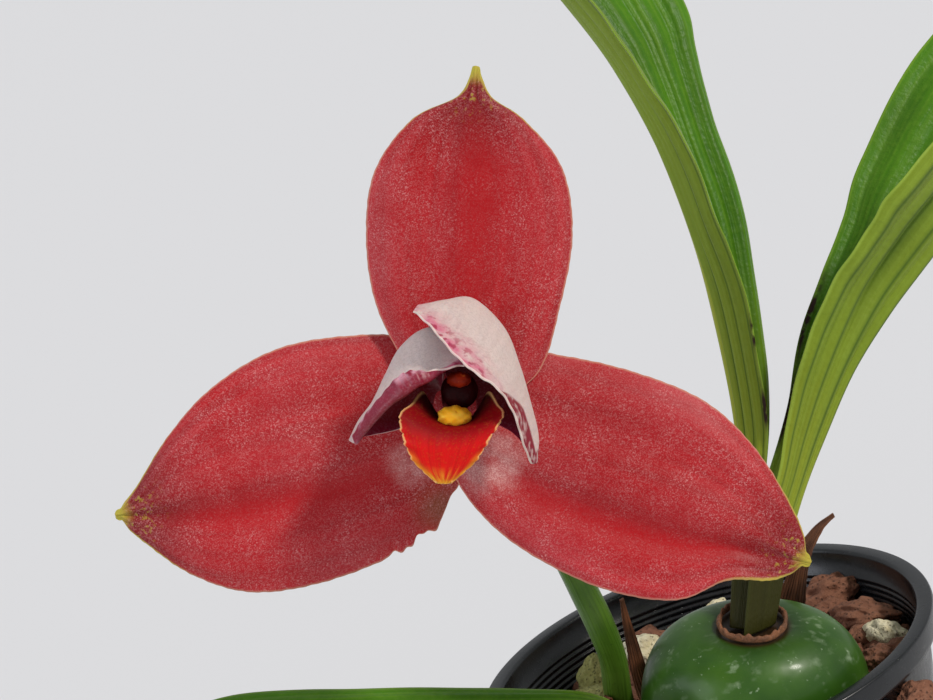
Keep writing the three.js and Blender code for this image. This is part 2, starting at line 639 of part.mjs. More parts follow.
const LIP_LINE = [
  [0, -3.4, 4], [0, -5.2, 9], [0, -4.6, 14.5], [0, -3.7, 19.5], [-0.2, -3.5, 23.8],
  [-0.7, -4.6, 27], [-1.6, -7.6, 28.4], [-2, -10.9, 28], [-2.1, -13.7, 26.6],
];
const LIP_HALF_WIDTH = [2.4, 3.8, 5.2, 6.4, 8, 9.5, 8, 5.6, 1.4];
const LIP_LOBE_RISE = [1, 3.4, 6, 6.6, 4.2, 3.4, 2.4, 1.2, 0.2];
const LIP_FRILL = 0.35;

function lipGeometry() {
  const plate = blade((u, v) => {
    const p = pointAlong(LIP_LINE, u);
    const s = Math.abs(v);
    p.x += v * along(LIP_HALF_WIDTH, u);
    p.y += along(LIP_LOBE_RISE, u) * s * s;
    p.z += LIP_FRILL * s ** 4 * Math.sin(26 * u) * THREE.MathUtils.smoothstep(u, 0.5, 0.8);
    return p;
  }, 16, 10, LIP_THICKNESS);
  return shapeOf(solid(plate).add(solid(egg(CALLUS_PLACE, CALLUS_HALF_SIZE))));
}

// Column: arched over the lip, with the anther at its tip as a cap of its own

const COLUMN_PATH = [[0, 1, 3.4], [0.1, 1.8, 8.6], [0.4, 2.7, 14], [0.8, 3.2, 20]];

function columnGeometry() {
  return stem(COLUMN_PATH, (t) => COLUMN_RADIUS * (1 - COLUMN_FLARE / 4 + COLUMN_FLARE * t * t), 10, 12);
}

// Assembly

add(orchid, 'pot', potGeometry(), COLOURS.pot, 0.45);

const PUMICE = [
  { at: [35, -26.4, 80], size: 3.3, stretch: [1, 0.95, 0.85] },
  { at: [40.4, 1, 79.8], size: 4.6, stretch: [1.15, 0.8, 0.7] },
  { at: [-25.5, 26, 79.4], size: 5.6, stretch: [0.8, 1, 0.8] },
  { at: [-27.5, 13.2, 79.6], size: 4.8, stretch: [1, 0.9, 0.8] },
  { at: [6, 38, 79.6], size: 5, stretch: [1, 0.9, 0.8] },
  { at: [-13.5, 31.5, 79.8], size: 4.4, stretch: [1.1, 0.9, 0.8] },
];

/** Scattered places on a disc, from the middle outwards, that keep clear of the bulb. */
function lavaPlaces() {
  const random = seeded(SCATTER_SEED);
  const inner = POT_NECK_RADIUS - POT_WALL - 3.4;
  const sunk = (BULB_APEX[2] - MEDIUM_TOP) / BULB_AXIS[2];
  const middle = [0, 1].map((k) => BULB_APEX[k] - sunk * BULB_AXIS[k]);
  const golden = Math.PI * (3 - Math.sqrt(5));
  const places = [];
  for (let i = 0; i < LAVA_CHUNKS; i += 1) {
    const size = THREE.MathUtils.lerp(...LAVA_SIZE, random());
    const radius = Math.sqrt((i + 0.5) / LAVA_CHUNKS) * (inner - size * 0.75);
    const angle = i * golden + 0.3 * random();
    const [x, y] = [radius * Math.cos(angle), radius * Math.sin(angle)];
    const z = MEDIUM_TOP + THREE.MathUtils.lerp(...LAVA_BEDDED, random());
    const acrossBulb = Math.hypot((x - middle[0]) / BULB_HALF_WIDTH, (y - middle[1]) / BULB_HALF_DEPTH);
    if (acrossBulb > 1) places.push({ at: [x, y, z], size });
  }
  return places;
}

function mediumGeometry(holes) {
  const slope = (POT_NECK_RADIUS - POT_BASE_RADIUS) / (POT_HEIGHT - POT_RIM_HEIGHT);
  const edge = (z) => POT_BASE_RADIUS + slope * z - POT_WALL - CLEARANCE;
  const bottom = POT_WALL + CLEARANCE;
  const profile = [
    [0, bottom], [edge(3) - 2, bottom], [edge(4), 4], [edge(MEDIUM_TOP - 1.5), MEDIUM_TOP - 1.5],
    [32, MEDIUM_TOP], [0, MEDIUM_TOP + 0.8],
  ];
  let bed = solid(turned(profile, POT_SIDES));
  lavaPlaces().forEach(({ at, size }, i) => {
    bed = bed.add(solid(stone(at, size, LAVA_SEED + i)));
  });
  holes.forEach((hole) => {
    bed = bed.subtract(hole);
  });
  return shapeOf(bed);
}

const holes = [
  solid(placedOnBulb(bulbGeometry(CLEARANCE))),
  rhizomeSolid(CLEARANCE),
  solid(scapeGeometry(CLEARANCE)),
  solid(stem(SCAPE_SOCKET, () => SCAPE_SOCKET_RADIUS, 2, 10)),
  solid(stem(LOW_LEAF_SOCKET, () => LOW_LEAF_SOCKET_RADIUS, 2, 10)),
  sheathSlot(SHEATHS.sheath_behind_bulb),
  sheathSlot(SHEATHS.bract_beside_scape),
  ...PUMICE.map(({ at, size, stretch }, i) => (
    solid(stone(at, size + 1.3 * CLEARANCE, PUMICE_SEED + i, stretch, 1))
  )),
];

add(orchid, 'growing_medium', mediumGeometry(holes), COLOURS.lava, 0.95);
PUMICE.forEach(({ at, size, stretch }, i) => {
  add(orchid, `pumice_stone_${i + 1}`, stone(at, size, PUMICE_SEED + i, stretch, 1), COLOURS.pumice, 0.9);
});

add(orchid, 'rhizome', shapeOf(rhizomeSolid()), COLOURS.rhizome, 0.8);
add(orchid, 'pseudobulb', placedOnBulb(bulbGeometry()), COLOURS.bulb, 0.35);
add(orchid, 'neck_collar', collarGeometry(), COLOURS.sheath, 0.8);
add(orchid, 'leaf_left', leafGeometry(LEAF_LEFT, LEFT_FORM, 24, 16), COLOURS.leaf, 0.45);
add(orchid, 'leaf_right', leafGeometry(LEAF_RIGHT, RIGHT_FORM, 24, 16), COLOURS.leaf, 0.45);
add(orchid, 'leaf_low', leafGeometry(LEAF_LOW, SHORT_FORM, 16, 12), COLOURS.leaf, 0.45);
add(orchid, 'scape', scapeGeometry(), COLOURS.scape, 0.5);
add(orchid, 'ovary', ovaryGeometry(), COLOURS.scape, 0.5);
Object.entries(SHEATHS).forEach(([name, { path, facing, half, wrap, colour }]) => {
  add(orchid, name, sheathGeometry(path, half, facing, wrap), colour ?? COLOURS.sheath, 0.8);
});

const flower = new THREE.Group();
flower.position.set(...FLOWER_CENTRE);
flower.rotation.set(THREE.MathUtils.degToRad(FLOWER_TILT), 0, THREE.MathUtils.degToRad(FLOWER_TURN), 'ZXY');
orchid.add(flower);
const bloom = new THREE.Group();
bloom.rotation.z = THREE.MathUtils.degToRad(FLOWER_LEAN);
flower.add(bloom);

add(bloom, 'sepal_left', tepalGeometry(LATERAL_LEFT), COLOURS.sepal, 0.5);
add(bloom, 'sepal_right', tepalGeometry(LATERAL_RIGHT), COLOURS.sepal, 0.5);
add(bloom, 'dorsal_sepal', tepalGeometry(DORSAL), COLOURS.sepal, 0.5);
add(bloom, 'petal_left', petalGeometry(PETAL_LEFT, 10), COLOURS.petal, 0.5);
add(bloom, 'petal_right', petalGeometry(PETAL_RIGHT, 9), COLOURS.petal, 0.5);
add(bloom, 'lip', lipGeometry(), COLOURS.lip, 0.5);
add(bloom, 'column', columnGeometry(), COLOURS.column, 0.5);
add(bloom, 'anther_cap', egg(ANTHER_PLACE, ANTHER_HALF_SIZE), COLOURS.anther, 0.5);

export default orchid;
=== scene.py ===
"""Potted lycaste orchid: the looks of the plant, its flower, its pot and its grit.

Shapes are worked out in millimetres, as such a plant is measured, and every mesh is turned to
metres when it is finished. +Z is up and the flower faces -Y.
"""

import logging
import math
from dataclasses import dataclass
from enum import Enum
from typing import Callable, ClassVar, Union

import bmesh
import bpy
import numpy as np
from mathutils import Matrix, Vector


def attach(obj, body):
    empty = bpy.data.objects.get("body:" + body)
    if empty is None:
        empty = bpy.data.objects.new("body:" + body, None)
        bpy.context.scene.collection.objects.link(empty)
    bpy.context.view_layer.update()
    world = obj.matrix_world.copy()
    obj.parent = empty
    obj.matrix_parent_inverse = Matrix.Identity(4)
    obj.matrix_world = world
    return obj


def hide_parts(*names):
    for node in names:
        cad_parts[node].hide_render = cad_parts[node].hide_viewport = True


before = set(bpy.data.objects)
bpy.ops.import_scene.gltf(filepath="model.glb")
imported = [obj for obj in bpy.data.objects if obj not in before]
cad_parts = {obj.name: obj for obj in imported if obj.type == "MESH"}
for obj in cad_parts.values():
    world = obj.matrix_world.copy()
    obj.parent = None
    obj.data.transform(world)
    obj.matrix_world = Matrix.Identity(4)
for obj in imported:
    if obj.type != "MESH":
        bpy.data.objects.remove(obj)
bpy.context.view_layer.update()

log = logging.getLogger("orchid")

MM = 0.001  # metres in a millimetre
TURN = 2 * math.pi  # one full turn
WELD = 1e-4  # distance at which vertices are merged, in millimetres
EDGE_WEIGHT = 0.08  # weight of a wall at its margin, where 1 is its full thickness
TAPER = 2.5  # width of a wall's taper, in thicknesses
COAT_ROUGHNESS = 0.12
SCATTER_COLOURS = (1.0, 0.35, 0.2)
SCATTER_REACH = 1.2  # how far light scatters below a skin, in millimetres
Array = np.ndarray
Surface = Callable[[Array, Array], Array]
Marks = dict[str, Surface]
Node = bpy.types.Node
Feed = Union[Node, bpy.types.NodeSocket, str]


class Slot(Enum):
    """The record's material slots that the pieces take their finish from."""

    POT = "pot_plastic"
    LAVA = "lava"
    PUMICE = "pumice"
    BULB = "bulb"
    ROOT = "root"
    LEAF = "leaf"
    STEM = "stem"
    DRY_SHEATH = "dry_sheath"
    GREEN_BRACT = "green_bract"
    SEPAL = "sepal"
    PETAL = "petal"
    LIP = "lip"
    COLUMN = "column"
    ANTHER = "anther"


# Numbers and curves


def linear(hex_colour: str) -> tuple[float, float, float, float]:
    """Turn an sRGB colour of six hexadecimal digits into the linear one, with alpha, of shaders."""
    parts = [int(hex_colour[i : i + 2], 16) / 255 for i in (0, 2, 4)]
    return (*(c / 12.92 if c <= 0.04045 else ((c + 0.055) / 1.055) ** 2.4 for c in parts), 1.0)


def smooth(value: Array, low: float, high: float) -> Array:
    """Ease from 0 where the value is below low to 1 where it is above high."""
    t = np.clip((value - low) / (high - low), 0, 1)
    return t * t * (3 - 2 * t)


def shares(t: Array, count: int) -> tuple[Array, Array]:
    """Work out which four entries of an even row meet at each t, and in what shares.

    Args:
        t: places from 0 to 1 along the row.
        count: how many entries the row has.

    Returns:
        Two arrays of four rows: the entries' numbers and their shares.
    """
    x = np.clip(t, 0, 1) * (count - 1)
    i = np.minimum(np.floor(x).astype(int), count - 2)
    f = x - i
    index = np.clip(np.stack([i - 1, i, i + 1, i + 2]), 0, count - 1)
    part = np.stack([-f + 2 * f**2 - f**3, 2 - 5 * f**2 + 3 * f**3, f + 4 * f**2 - 3 * f**3, f**3 - f**2])
    return index, 0.5 * part


def along(row: list, t: Array) -> Array:
    """Read an evenly spaced row of numbers or points, joined smoothly, at each t."""
    values = np.asarray(row, float)
    index, part = shares(np.asarray(t, float), len(values))
    return np.einsum("an,an...->n...", part, values[index])


def across(net: list, u: Array, w: Array) -> Array:
    """Read a net of curves at u along each curve and w from the first curve to the last."""
    points = np.asarray(net, float)
    row, row_part = shares(w, len(points))
    column, column_part = shares(u, len(points[0]))
    return np.einsum("an,bn,abnk->nk", row_part, column_part, points[row[:, None], column[None]])


def grain(points: Array, size: float, seed: int) -> Array:
    """Smooth unevenness, mostly from -1 to 1, at each point.

    Args:
        points: places, in the same unit as size.
        size: the width of one swelling.
        seed: which pattern it is.

    Returns:
        One number for each point.
    """
    random = np.random.default_rng(seed)
    ways = unit(random.normal(size=(9, 3))) * random.uniform(0.6, 1.4, (9, 1)) * math.pi / size
    return np.sin(points @ ways.T + random.uniform(0, TURN, 9)).sum(axis=1) / 3


def unit(vectors: Array) -> Array:
    """Give each row the length one."""
    return vectors / np.maximum(np.linalg.norm(vectors, axis=-1, keepdims=True), 1e-12)


def normals_of(surface: Surface, u: Array, v: Array, step: float = 0.004) -> Array:
    """Work out which way a surface faces, along u crossed with v.

    Args:
        surface: the surface.
        u: places along it, from 0 to 1.
        v: places across it, from -1 to 1.
        step: how far apart it is felt.

    Returns:
        One unit vector for each place.
    """
    du = surface(np.minimum(1, u + step), v) - surface(np.maximum(0, u - step), v)
    dv = surface(u, np.minimum(1, v + step)) - surface(u, np.maximum(-1, v - step))
    return unit(np.cross(unit(du), unit(dv)))


class Path:
    """A smooth line through points, read by its share of length.

    Args:
        points: places in millimetres.
        samples: how finely its length is measured.
    """

    def __init__(self, points: list, samples: int = 400) -> None:
        """Measure the line."""
        self.line = along(points, np.linspace(0, 1, samples))
        steps = np.linalg.norm(np.diff(self.line, axis=0), axis=1)
        self.share = np.concatenate([[0], np.cumsum(steps)]) / steps.sum()

    def at(self, t: Array) -> Array:
        """Read the points at each share of the length."""
        return np.stack([np.interp(t, self.share, self.line[:, k]) for k in range(3)], axis=-1)

    def tangent(self, t: Array, step: float = 0.01) -> Array:
        """Read the direction at each share of the length."""
        return unit(self.at(np.minimum(1, t + step)) - self.at(np.maximum(0, t - step)))


# Meshes


def new_object(name: str, bm: bmesh.types.BMesh) -> bpy.types.Object:
    """Put a bmesh, in millimetres, into the scene as a smooth object in metres.

    Args:
        name: the piece's name.
        bm: the mesh, which is used up.

    Returns:
        The object, at the origin.
    """
    bmesh.ops.scale(bm, vec=(MM, MM, MM), verts=bm.verts)
    mesh = bpy.data.meshes.new(name)
    bm.to_mesh(mesh)
    bm.free()
    mesh.shade_smooth()
    obj = bpy.data.objects.new(name, mesh)
    bpy.context.scene.collection.objects.link(obj)
    return obj


def sheet(
    name: str,
    surface: Surface,
    rows: int,
    columns: int,
    facing: Array | None = None,
    marks: Marks | None = None,
    closed: bool = False,
) -> bpy.types.Object:
    """Model a surface as a grid whose vertices are moved by a formula.

    Args:
        name: the piece's name.
        surface: gives a point in millimetres for u from 0 to 1 and v from -1 to 1.
        rows: faces along u.
        columns: faces across v.
        facing: the way that its first material's side looks, where that matters.
        marks: numbers to keep at each vertex for the material, by name.
        closed: whether its v sides meet and its u ends close to a point.

    Returns:
        The object.
    """
    bm = bmesh.new()
    bm.loops.layers.uv.new("UVMap")
    bmesh.ops.create_grid(bm, x_segments=rows, y_segments=columns, size=1, calc_uvs=True)
    flat = np.array([vertex.co for vertex in bm.verts])
    u, v = (flat[:, 0] + 1) / 2, flat[:, 1]
    points = surface(u, v)
    for key, mark in (marks or {}).items():
        layer = bm.verts.layers.float.new(key)
        for vertex, value in zip(bm.verts, mark(u, v)):
            vertex[layer] = float(value)
    for vertex, point in zip(bm.verts, points):
        vertex.co = point
    if closed:
        bmesh.ops.remove_doubles(bm, verts=bm.verts, dist=WELD)
        bmesh.ops.recalc_face_normals(bm, faces=bm.faces)
    elif facing is not None:
        bm.normal_update()
        seen = sum((face.normal * face.calc_area() for face in bm.faces), Vector())
        if seen.dot(Vector(facing)) < 0:
            bmesh.ops.reverse_faces(bm, faces=bm.faces)
    return new_object(name, bm)


def thicken(obj: bpy.types.Object, thickness: float, thin: float = 0.35, margin: str = "edge") -> None:
    """Give a sheet its thickness, which tapers to a thin edge.

    Args:
        obj: the sheet, with a mark that counts millimetres from its margin.
        thickness: in millimetres, away from the edge.
        thin: the edge's share of it.
        margin: the mark's name.
    """
    edge = obj.data.attributes[margin].data
    group = obj.vertex_groups.new(name="body")
    for i, item in enumerate(edge):
        group.add([i], min(1.0, EDGE_WEIGHT + item.value / (TAPER * thickness)), "REPLACE")
    wall = obj.modifiers.new("wall", "SOLIDIFY")
    wall.thickness = thickness * MM
    wall.offset = 0
    wall.vertex_group = "body"
    wall.thickness_vertex_group = thin
    wall.material_offset = 1
    wall.material_offset_rim = 0


def tube(path: Path, radius: Surface, angle: float = 0.0) -> Surface:
    """Sweep a round section along a path, closed to a dome at both ends.

    Args:
        path: the middle line.
        radius: radius in millimetres for each share of length and angle.
        angle: where the seam lies, in radians.

    Returns:
        The swept surface.
    """
    stations = np.linspace(0, 1, 200)
    tangents = path.tangent(stations)
    side = unit(np.cross(tangents[0], [0.31, 0.9, 0.17]))
    sides = []
    for tangent in tangents:
        side = unit(side - tangent * side.dot(tangent))
        sides.append(side)
    sides = np.array(sides)

    def surface(u: Array, v: Array) -> Array:
        """Place each point of the sweep."""
        tangent = path.tangent(u)
        first = unit(np.stack([np.interp(u, stations, sides[:, k]) for k in range(3)], axis=-1))
        second = np.cross(tangent, first)
        turn = math.pi * v + angle
        wide = radius(u, turn)[:, None]
        return path.at(u) + wide * (np.cos(turn)[:, None] * first + np.sin(turn)[:, None] * second)

    return surface


def domed(u: Array, end: float = 0.03) -> Array:
    """Share of full radius that rounds both ends of a tube off to a point."""
    near = np.minimum(1, np.minimum(u, 1 - u) / end)
    return np.sqrt(np.maximum(0, 1 - (1 - near) ** 2))


def keep(obj: bpy.types.Object, slot: Slot, *finishes: "Finish", nodes: tuple[str, ...] = ()) -> None:
    """Dress a finished piece and tie it to the frame.

    Args:
        obj: the piece.
        slot: the record's material slot.
        finishes: its materials, in the order of its faces' numbers.
        nodes: the frame's nodes that it stands for.
    """
    for finish in finishes:
        obj.data.materials.append(finish.material())
    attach(obj, "root")
    if nodes:
        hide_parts(*nodes)
    log.info("%s: %d faces, %s", obj.name, len(obj.data.polygons), slot.value)


# Materials


class Paint:
    """A material's nodes as they are laid down: patterns, layers of colour, gloss and relief.

    Args:
        tree: the material's node tree.
        body: the colour below all others, as hexadecimal digits.
    """

    def __init__(self, tree: bpy.types.NodeTree, body: str) -> None:
        """Start with the bare body colour."""
        self.tree = tree
        self.shader = tree.nodes["Principled BSDF"]
        self.shader.inputs["Base Color"].default_value = linear(body)
        self.body = body
        self.top = None
        self.place = self.add("TexCoord")

    def add(self, kind: str, settings: dict | None = None, links: dict | None = None) -> Node:
        """Add a shader node with its settings and links.

        Args:
            kind: the node's type, without the ShaderNode that all begin with.
            settings: values for its properties or sockets, by their name or number.
            links: nodes, sockets or names of marks that feed its inputs, by the input's name or number.

        Returns:
            The node.
        """
        node = self.tree.nodes.new("ShaderNode" + kind)
        for key, value in (settings or {}).items():
            if isinstance(key, str) and hasattr(node, key):
                setattr(node, key, value)
            else:
                node.inputs[key].default_value = value
        for key, source in (links or {}).items():
            if isinstance(source, str):
                source = self.add("Attribute", {"attribute_name": source}).outputs["Fac"]
            socket = source.outputs[0] if hasattr(source, "outputs") else source
            self.tree.links.new(socket, node.inputs[key])
        return node

    def speckle(self, width: float, low: float, high: float) -> Node:
        """Scatter grains of one width in millimetres, each of its own brightness between two levels."""
        # Real plant cells, about 0.05 mm wide, are too fine to show: they are drawn 0.18 to 0.3 mm wide.
        where = {"Vector": self.place.outputs["Object"]}
        cells = self.add("TexVoronoi", {"Scale": 1 / (width * MM)}, where)
        value = self.add("SeparateColor", links={0: cells.outputs["Color"]})
        return self.add("MapRange", {"From Min": low, "From Max": high}, {"Value": value})

    def blotch(self, width: float, low: float, high: float, detail: float = 3) -> Node:
        """Draw soft patches of a given width in millimetres, eased between two levels."""
        settings = {"Scale": 1 / (width * MM), "Detail": detail}
        patches = self.add("TexNoise", settings, {"Vector": self.place.outputs["Object"]})
        return self.add("MapRange", {"From Min": low, "From Max": high}, {"Value": patches})

    def streak(self, lengthwise: float, crosswise: float, low: float, high: float) -> Node:
        """Draw lines that follow the piece's own length, so many along it and across it."""
        scale = {"Scale": (lengthwise, crosswise, 1)}
        stretched = self.add("Mapping", scale, {"Vector": self.place.outputs["UV"]})
        lines = self.add("TexNoise", {"Scale": 1, "Detail": 3}, {"Vector": stretched})
        return self.add("MapRange", {"From Min": low, "From Max": high}, {"Value": lines})

    def near(self, mark: str, low: float, high: float) -> Node:
        """Ease from 1 below low to 0 above high of one of the piece's marks."""
        fall = {"From Min": low, "From Max": high, "To Min": 1.0, "To Max": 0.0}
        return self.add("MapRange", fall | {"interpolation_type": "SMOOTHSTEP"}, {"Value": mark})

    def layer(self, colour: str, strength: float, *places: Feed) -> None:
        """Lay a colour over the ones below it.

        Args:
            colour: the colour, as hexadecimal digits.
            strength: how strong it is at most.
            places: nodes that say where, or names of marks; it lies where all of them do.
        """
        amount, *others = places
        for place in others:
            amount = self.add("Math", {"operation": "MULTIPLY"}, {0: amount, 1: place})
        weaken = {"operation": "MULTIPLY", "use_clamp": True, 1: strength}
        amount = self.add("Math", weaken, {0: amount})
        under = {} if self.top else {"Color1": linear(self.body)}
        links = {"Fac": amount, "Color1": self.top} if self.top else {"Fac": amount}
        self.top = self.add("MixRGB", under | {"Color2": linear(colour)}, links)
        self.tree.links.new(self.top.outputs[0], self.shader.inputs["Base Color"])

    def gloss(self, where: Feed, low: float, high: float) -> None:
        """Let the roughness go from low to high with a pattern."""
        dull = self.add("MapRange", {"To Min": low, "To Max": high}, {"Value": where})
        self.tree.links.new(dull.outputs[0], self.shader.inputs["Roughness"])

    def relief(self, height: Feed, depth: float) -> None:
        """Press a height pattern into the surface, to a depth in millimetres."""
        bump = self.add("Bump", {"Distance": depth * MM, "Strength": 1.0}, {"Height": height})
        self.tree.links.new(bump.outputs[0], self.shader.inputs["Normal"])


@dataclass(frozen=True)
class Finish:
    """A surface finish. Each kind paints its own colour, gloss and relief."""

    name: str = "plain"
    roughness: float = 0.5
    ior: float = 1.45
    coat: float = 0.0
    specular: float = 0.5
    subsurface: float = 0.0
    body: str = "808080"

    def material(self) -> bpy.types.Material:
        """Make the material, or find it if it has been made."""
        found = bpy.data.materials.get(self.name)
        if found:
            return found
        made = bpy.data.materials.new(self.name)
        made.use_nodes = True
        shader = made.node_tree.nodes["Principled BSDF"]
        for socket, value in (
            ("Roughness", self.roughness),
            ("IOR", self.ior),
            ("Coat Weight", self.coat),
            ("Coat Roughness", COAT_ROUGHNESS),
            ("Specular IOR Level", self.specular),
            ("Subsurface Weight", self.subsurface),
            ("Subsurface Radius", SCATTER_COLOURS),
            ("Subsurface Scale", SCATTER_REACH * MM),
        ):
            shader.inputs[socket].default_value = value
        self.paint(Paint(made.node_tree, self.body))
        return made

    def paint(self, on: Paint) -> None:
        """Lay the finish's own patterns and colours."""


@dataclass(frozen=True)
class MouldedPolypropylene(Finish):
    """Injection-moulded polypropylene: near black, a soft gloss, dusty and lightly scuffed."""

    name: str = "moulded_polypropylene"
    roughness: float = 0.3
    ior: float = 1.49
    body: str = "0D1013"
    dust: str = "3C4144"

    def paint(self, on: Paint) -> None:
        """Dust in patches, and fine scuffs that dull the gloss."""
        dusty = on.blotch(9, 0.5, 0.8)
        fine = on.speckle(0.5, 0.8, 1.0)
        on.layer(self.dust, 0.14, dusty)
        on.layer(self.dust, 0.1, fine)
        on.gloss(dusty, 0.26, 0.42)
        on.relief(fine, 0.03)


@dataclass(frozen=True)
class BrokenRock(Finish):
    """Broken volcanic rock: matt, porous, paler on its high grains, with painted shade in its pores."""

    roughness: float = 0.92
    body: str = "67402E"
    light: str = "8F624B"
    # Colour of the painted shade in the pores.
    dark: str = "2A1812"
    pore: float = 1.1

    def paint(self, on: Paint) -> None:
        """Patches of two tones, pores darkened with painted shade, and paler high grains."""
        tone = on.blotch(9, 0.35, 0.68)
        fine = on.blotch(1.6, 0.42, 0.7, 6)
        where = {"Vector": on.place.outputs["Object"]}
        pores = on.add("TexVoronoi", {"Scale": 1 / (self.pore * MM)}, where)
        depth = {"From Min": 0.34, "From Max": 0.08}
        hole = on.add("MapRange", depth, {"Value": pores.outputs["Distance"]})
        on.layer(self.light, 0.75, tone)
        on.layer(self.light, 0.5, fine)
        # Painted shade: the pores are darkened, most at their middle, where the relief sinks them.
        on.layer(self.dark, 0.7, hole)
        on.relief(on.add("Math", {"operation": "SUBTRACT"}, {0: fine, 1: hole}), 0.35)


@dataclass(frozen=True)
class WaxyBulbSkin(Finish):
    """The skin of a pseudobulb: glossy green with a white waxy bloom, rubbed and scuffed, and painted
    shadow below its crown.
    """

    name: str = "waxy_bulb_skin"
    roughness: float = 0.34
    ior: float = 1.42
    coat: float = 0.1
    specular: float = 0.4
    body: str = "2A5010"
    pale: str = "42691C"
    # Dark green of random patches, and of the painted shadow round the crown.
    dark: str = "173008"
    bloom: str = "98AD8C"
    husk: str = "2E1A0C"

    def paint(self, on: Paint) -> None:
        """Mottled green, a bloom of wax rubbed off in streaks, pale scuffs, and painted shadow round the
        crown.
        """
        mottle = on.blotch(11, 0.38, 0.66)
        rubbed = {0: on.blotch(7, 0.5, 0.78, 6), 1: on.streak(26, 40, 0.52, 0.72)}
        wax = on.add("Math", {"operation": "MULTIPLY"}, rubbed)
        on.layer(self.pale, 0.65, mottle)
        on.layer(self.dark, 0.5, on.blotch(26, 0.45, 0.7))
        on.layer(self.bloom, 0.85, wax)
        on.layer(self.bloom, 0.55, on.blotch(1.3, 0.69, 0.76, 2))
        # Painted shadow: darker green round the crown, where the collar and the leaf bases shade the bulb.
        on.layer(self.dark, 0.6, on.near("crown", 8.0, 15.0))
        on.layer(self.husk, 0.95, on.near("crown", 7.4, 9.0))
        on.gloss(wax, 0.4, 0.64)
        on.relief(mottle, 0.12)


@dataclass(frozen=True)
class PlicateLeaf(Finish):
    """A pleated leaf blade: satin green with pale parallel veins and dark grooves, whose darkest lines are
    painted shade.
    """

    name: str = "plicate_leaf_upper"
    roughness: float = 0.4
    ior: float = 1.4
    specular: float = 0.22
    body: str = "477C10"
    vein: str = "86A838"
    # Dark green of random patches and lines, and of the painted shade in the pleats' valleys.
    groove: str = "26480C"
    olive: str = "74861C"
    keel: str = "A8AE3E"
    ripe: str = "8E962A"
    scorch: str = "2A130A"
    foot: str = "1E1608"
    veins: float = 40

    def paint(self, on: Paint) -> None:
        """Parallel veins, an olive near half, a pale keel, dark grooves with painted shade in the pleats'
        valleys, and scorched spots.
        """
        fine = on.streak(4, self.veins, 0.42, 0.7)
        cross = on.blotch(1.4, 0.4, 0.75, 2)
        on.layer(self.groove, 0.35, on.blotch(16, 0.35, 0.7))
        on.layer(self.olive, 0.7, on.near("across", -0.12, 0.02))
        on.layer(self.ripe, 0.6, on.near("along", 0.14, 0.4))
        on.layer(self.vein, 0.22, fine)
        on.layer(self.groove, 0.4, on.streak(1.2, 9, 0.5, 0.66))
        on.layer(self.vein, 0.1, cross)
        # Painted shade in the valleys between the pleats and in the near half's deep valley under its fold.
        on.layer(self.groove, 0.85, "groove")
        on.layer(self.keel, 0.75, on.near("keel", 0.5, 2.0))
        on.layer(self.vein, 0.5, on.near("edge", 0.2, 0.7))
        on.layer(self.foot, 0.92, on.near("along", 0.06, 0.14))
        on.layer(self.scorch, 1.0, "scorch", on.blotch(3.2, 0.36, 0.5, 5))
        on.relief(on.add("Math", {"operation": "ADD"}, {0: fine, 1: cross}), 0.07)


@dataclass(frozen=True)
class SmoothStem(Finish):
    """A fleshy stem: smooth and satin, with faint lengthwise lines and small specks."""

    name: str = "smooth_stem"
    roughness: float = 0.35
    specular: float = 0.3
    body: str = "3E6012"
    pale: str = "5E7E2A"
    dark: str = "20360A"

    def paint(self, on: Paint) -> None:
        """Lengthwise lines, cloudy green and dark specks."""
        lines = on.streak(6, 30, 0.4, 0.7)
        on.layer(self.pale, 0.6, on.blotch(14, 0.35, 0.7))
        on.layer(self.dark, 0.4, lines)
        on.layer(self.dark, 0.5, on.blotch(1.1, 0.68, 0.78, 2))
        on.relief(lines, 0.08)


@dataclass(frozen=True)
class PaperySheath(Finish):
    """A dead sheath: thin, fibrous and dull, brown with darker nerves and a pale foot."""

    name: str = "papery_sheath"
    roughness: float = 0.72
    body: str = "7A4A2C"
    pale: str = "C99A72"
    dark: str = "321A10"

    def paint(self, on: Paint) -> None:
        """Nerves along it, stains, and a paler foot."""
        nerves = on.streak(3, 34, 0.42, 0.62)
        on.layer(self.dark, 0.6, on.blotch(6, 0.4, 0.66, 5))
        on.layer(self.dark, 0.6, nerves)
        on.layer(self.pale, 0.75, on.near("tip", 0.0, 1.0))
        on.relief(nerves, 0.15)


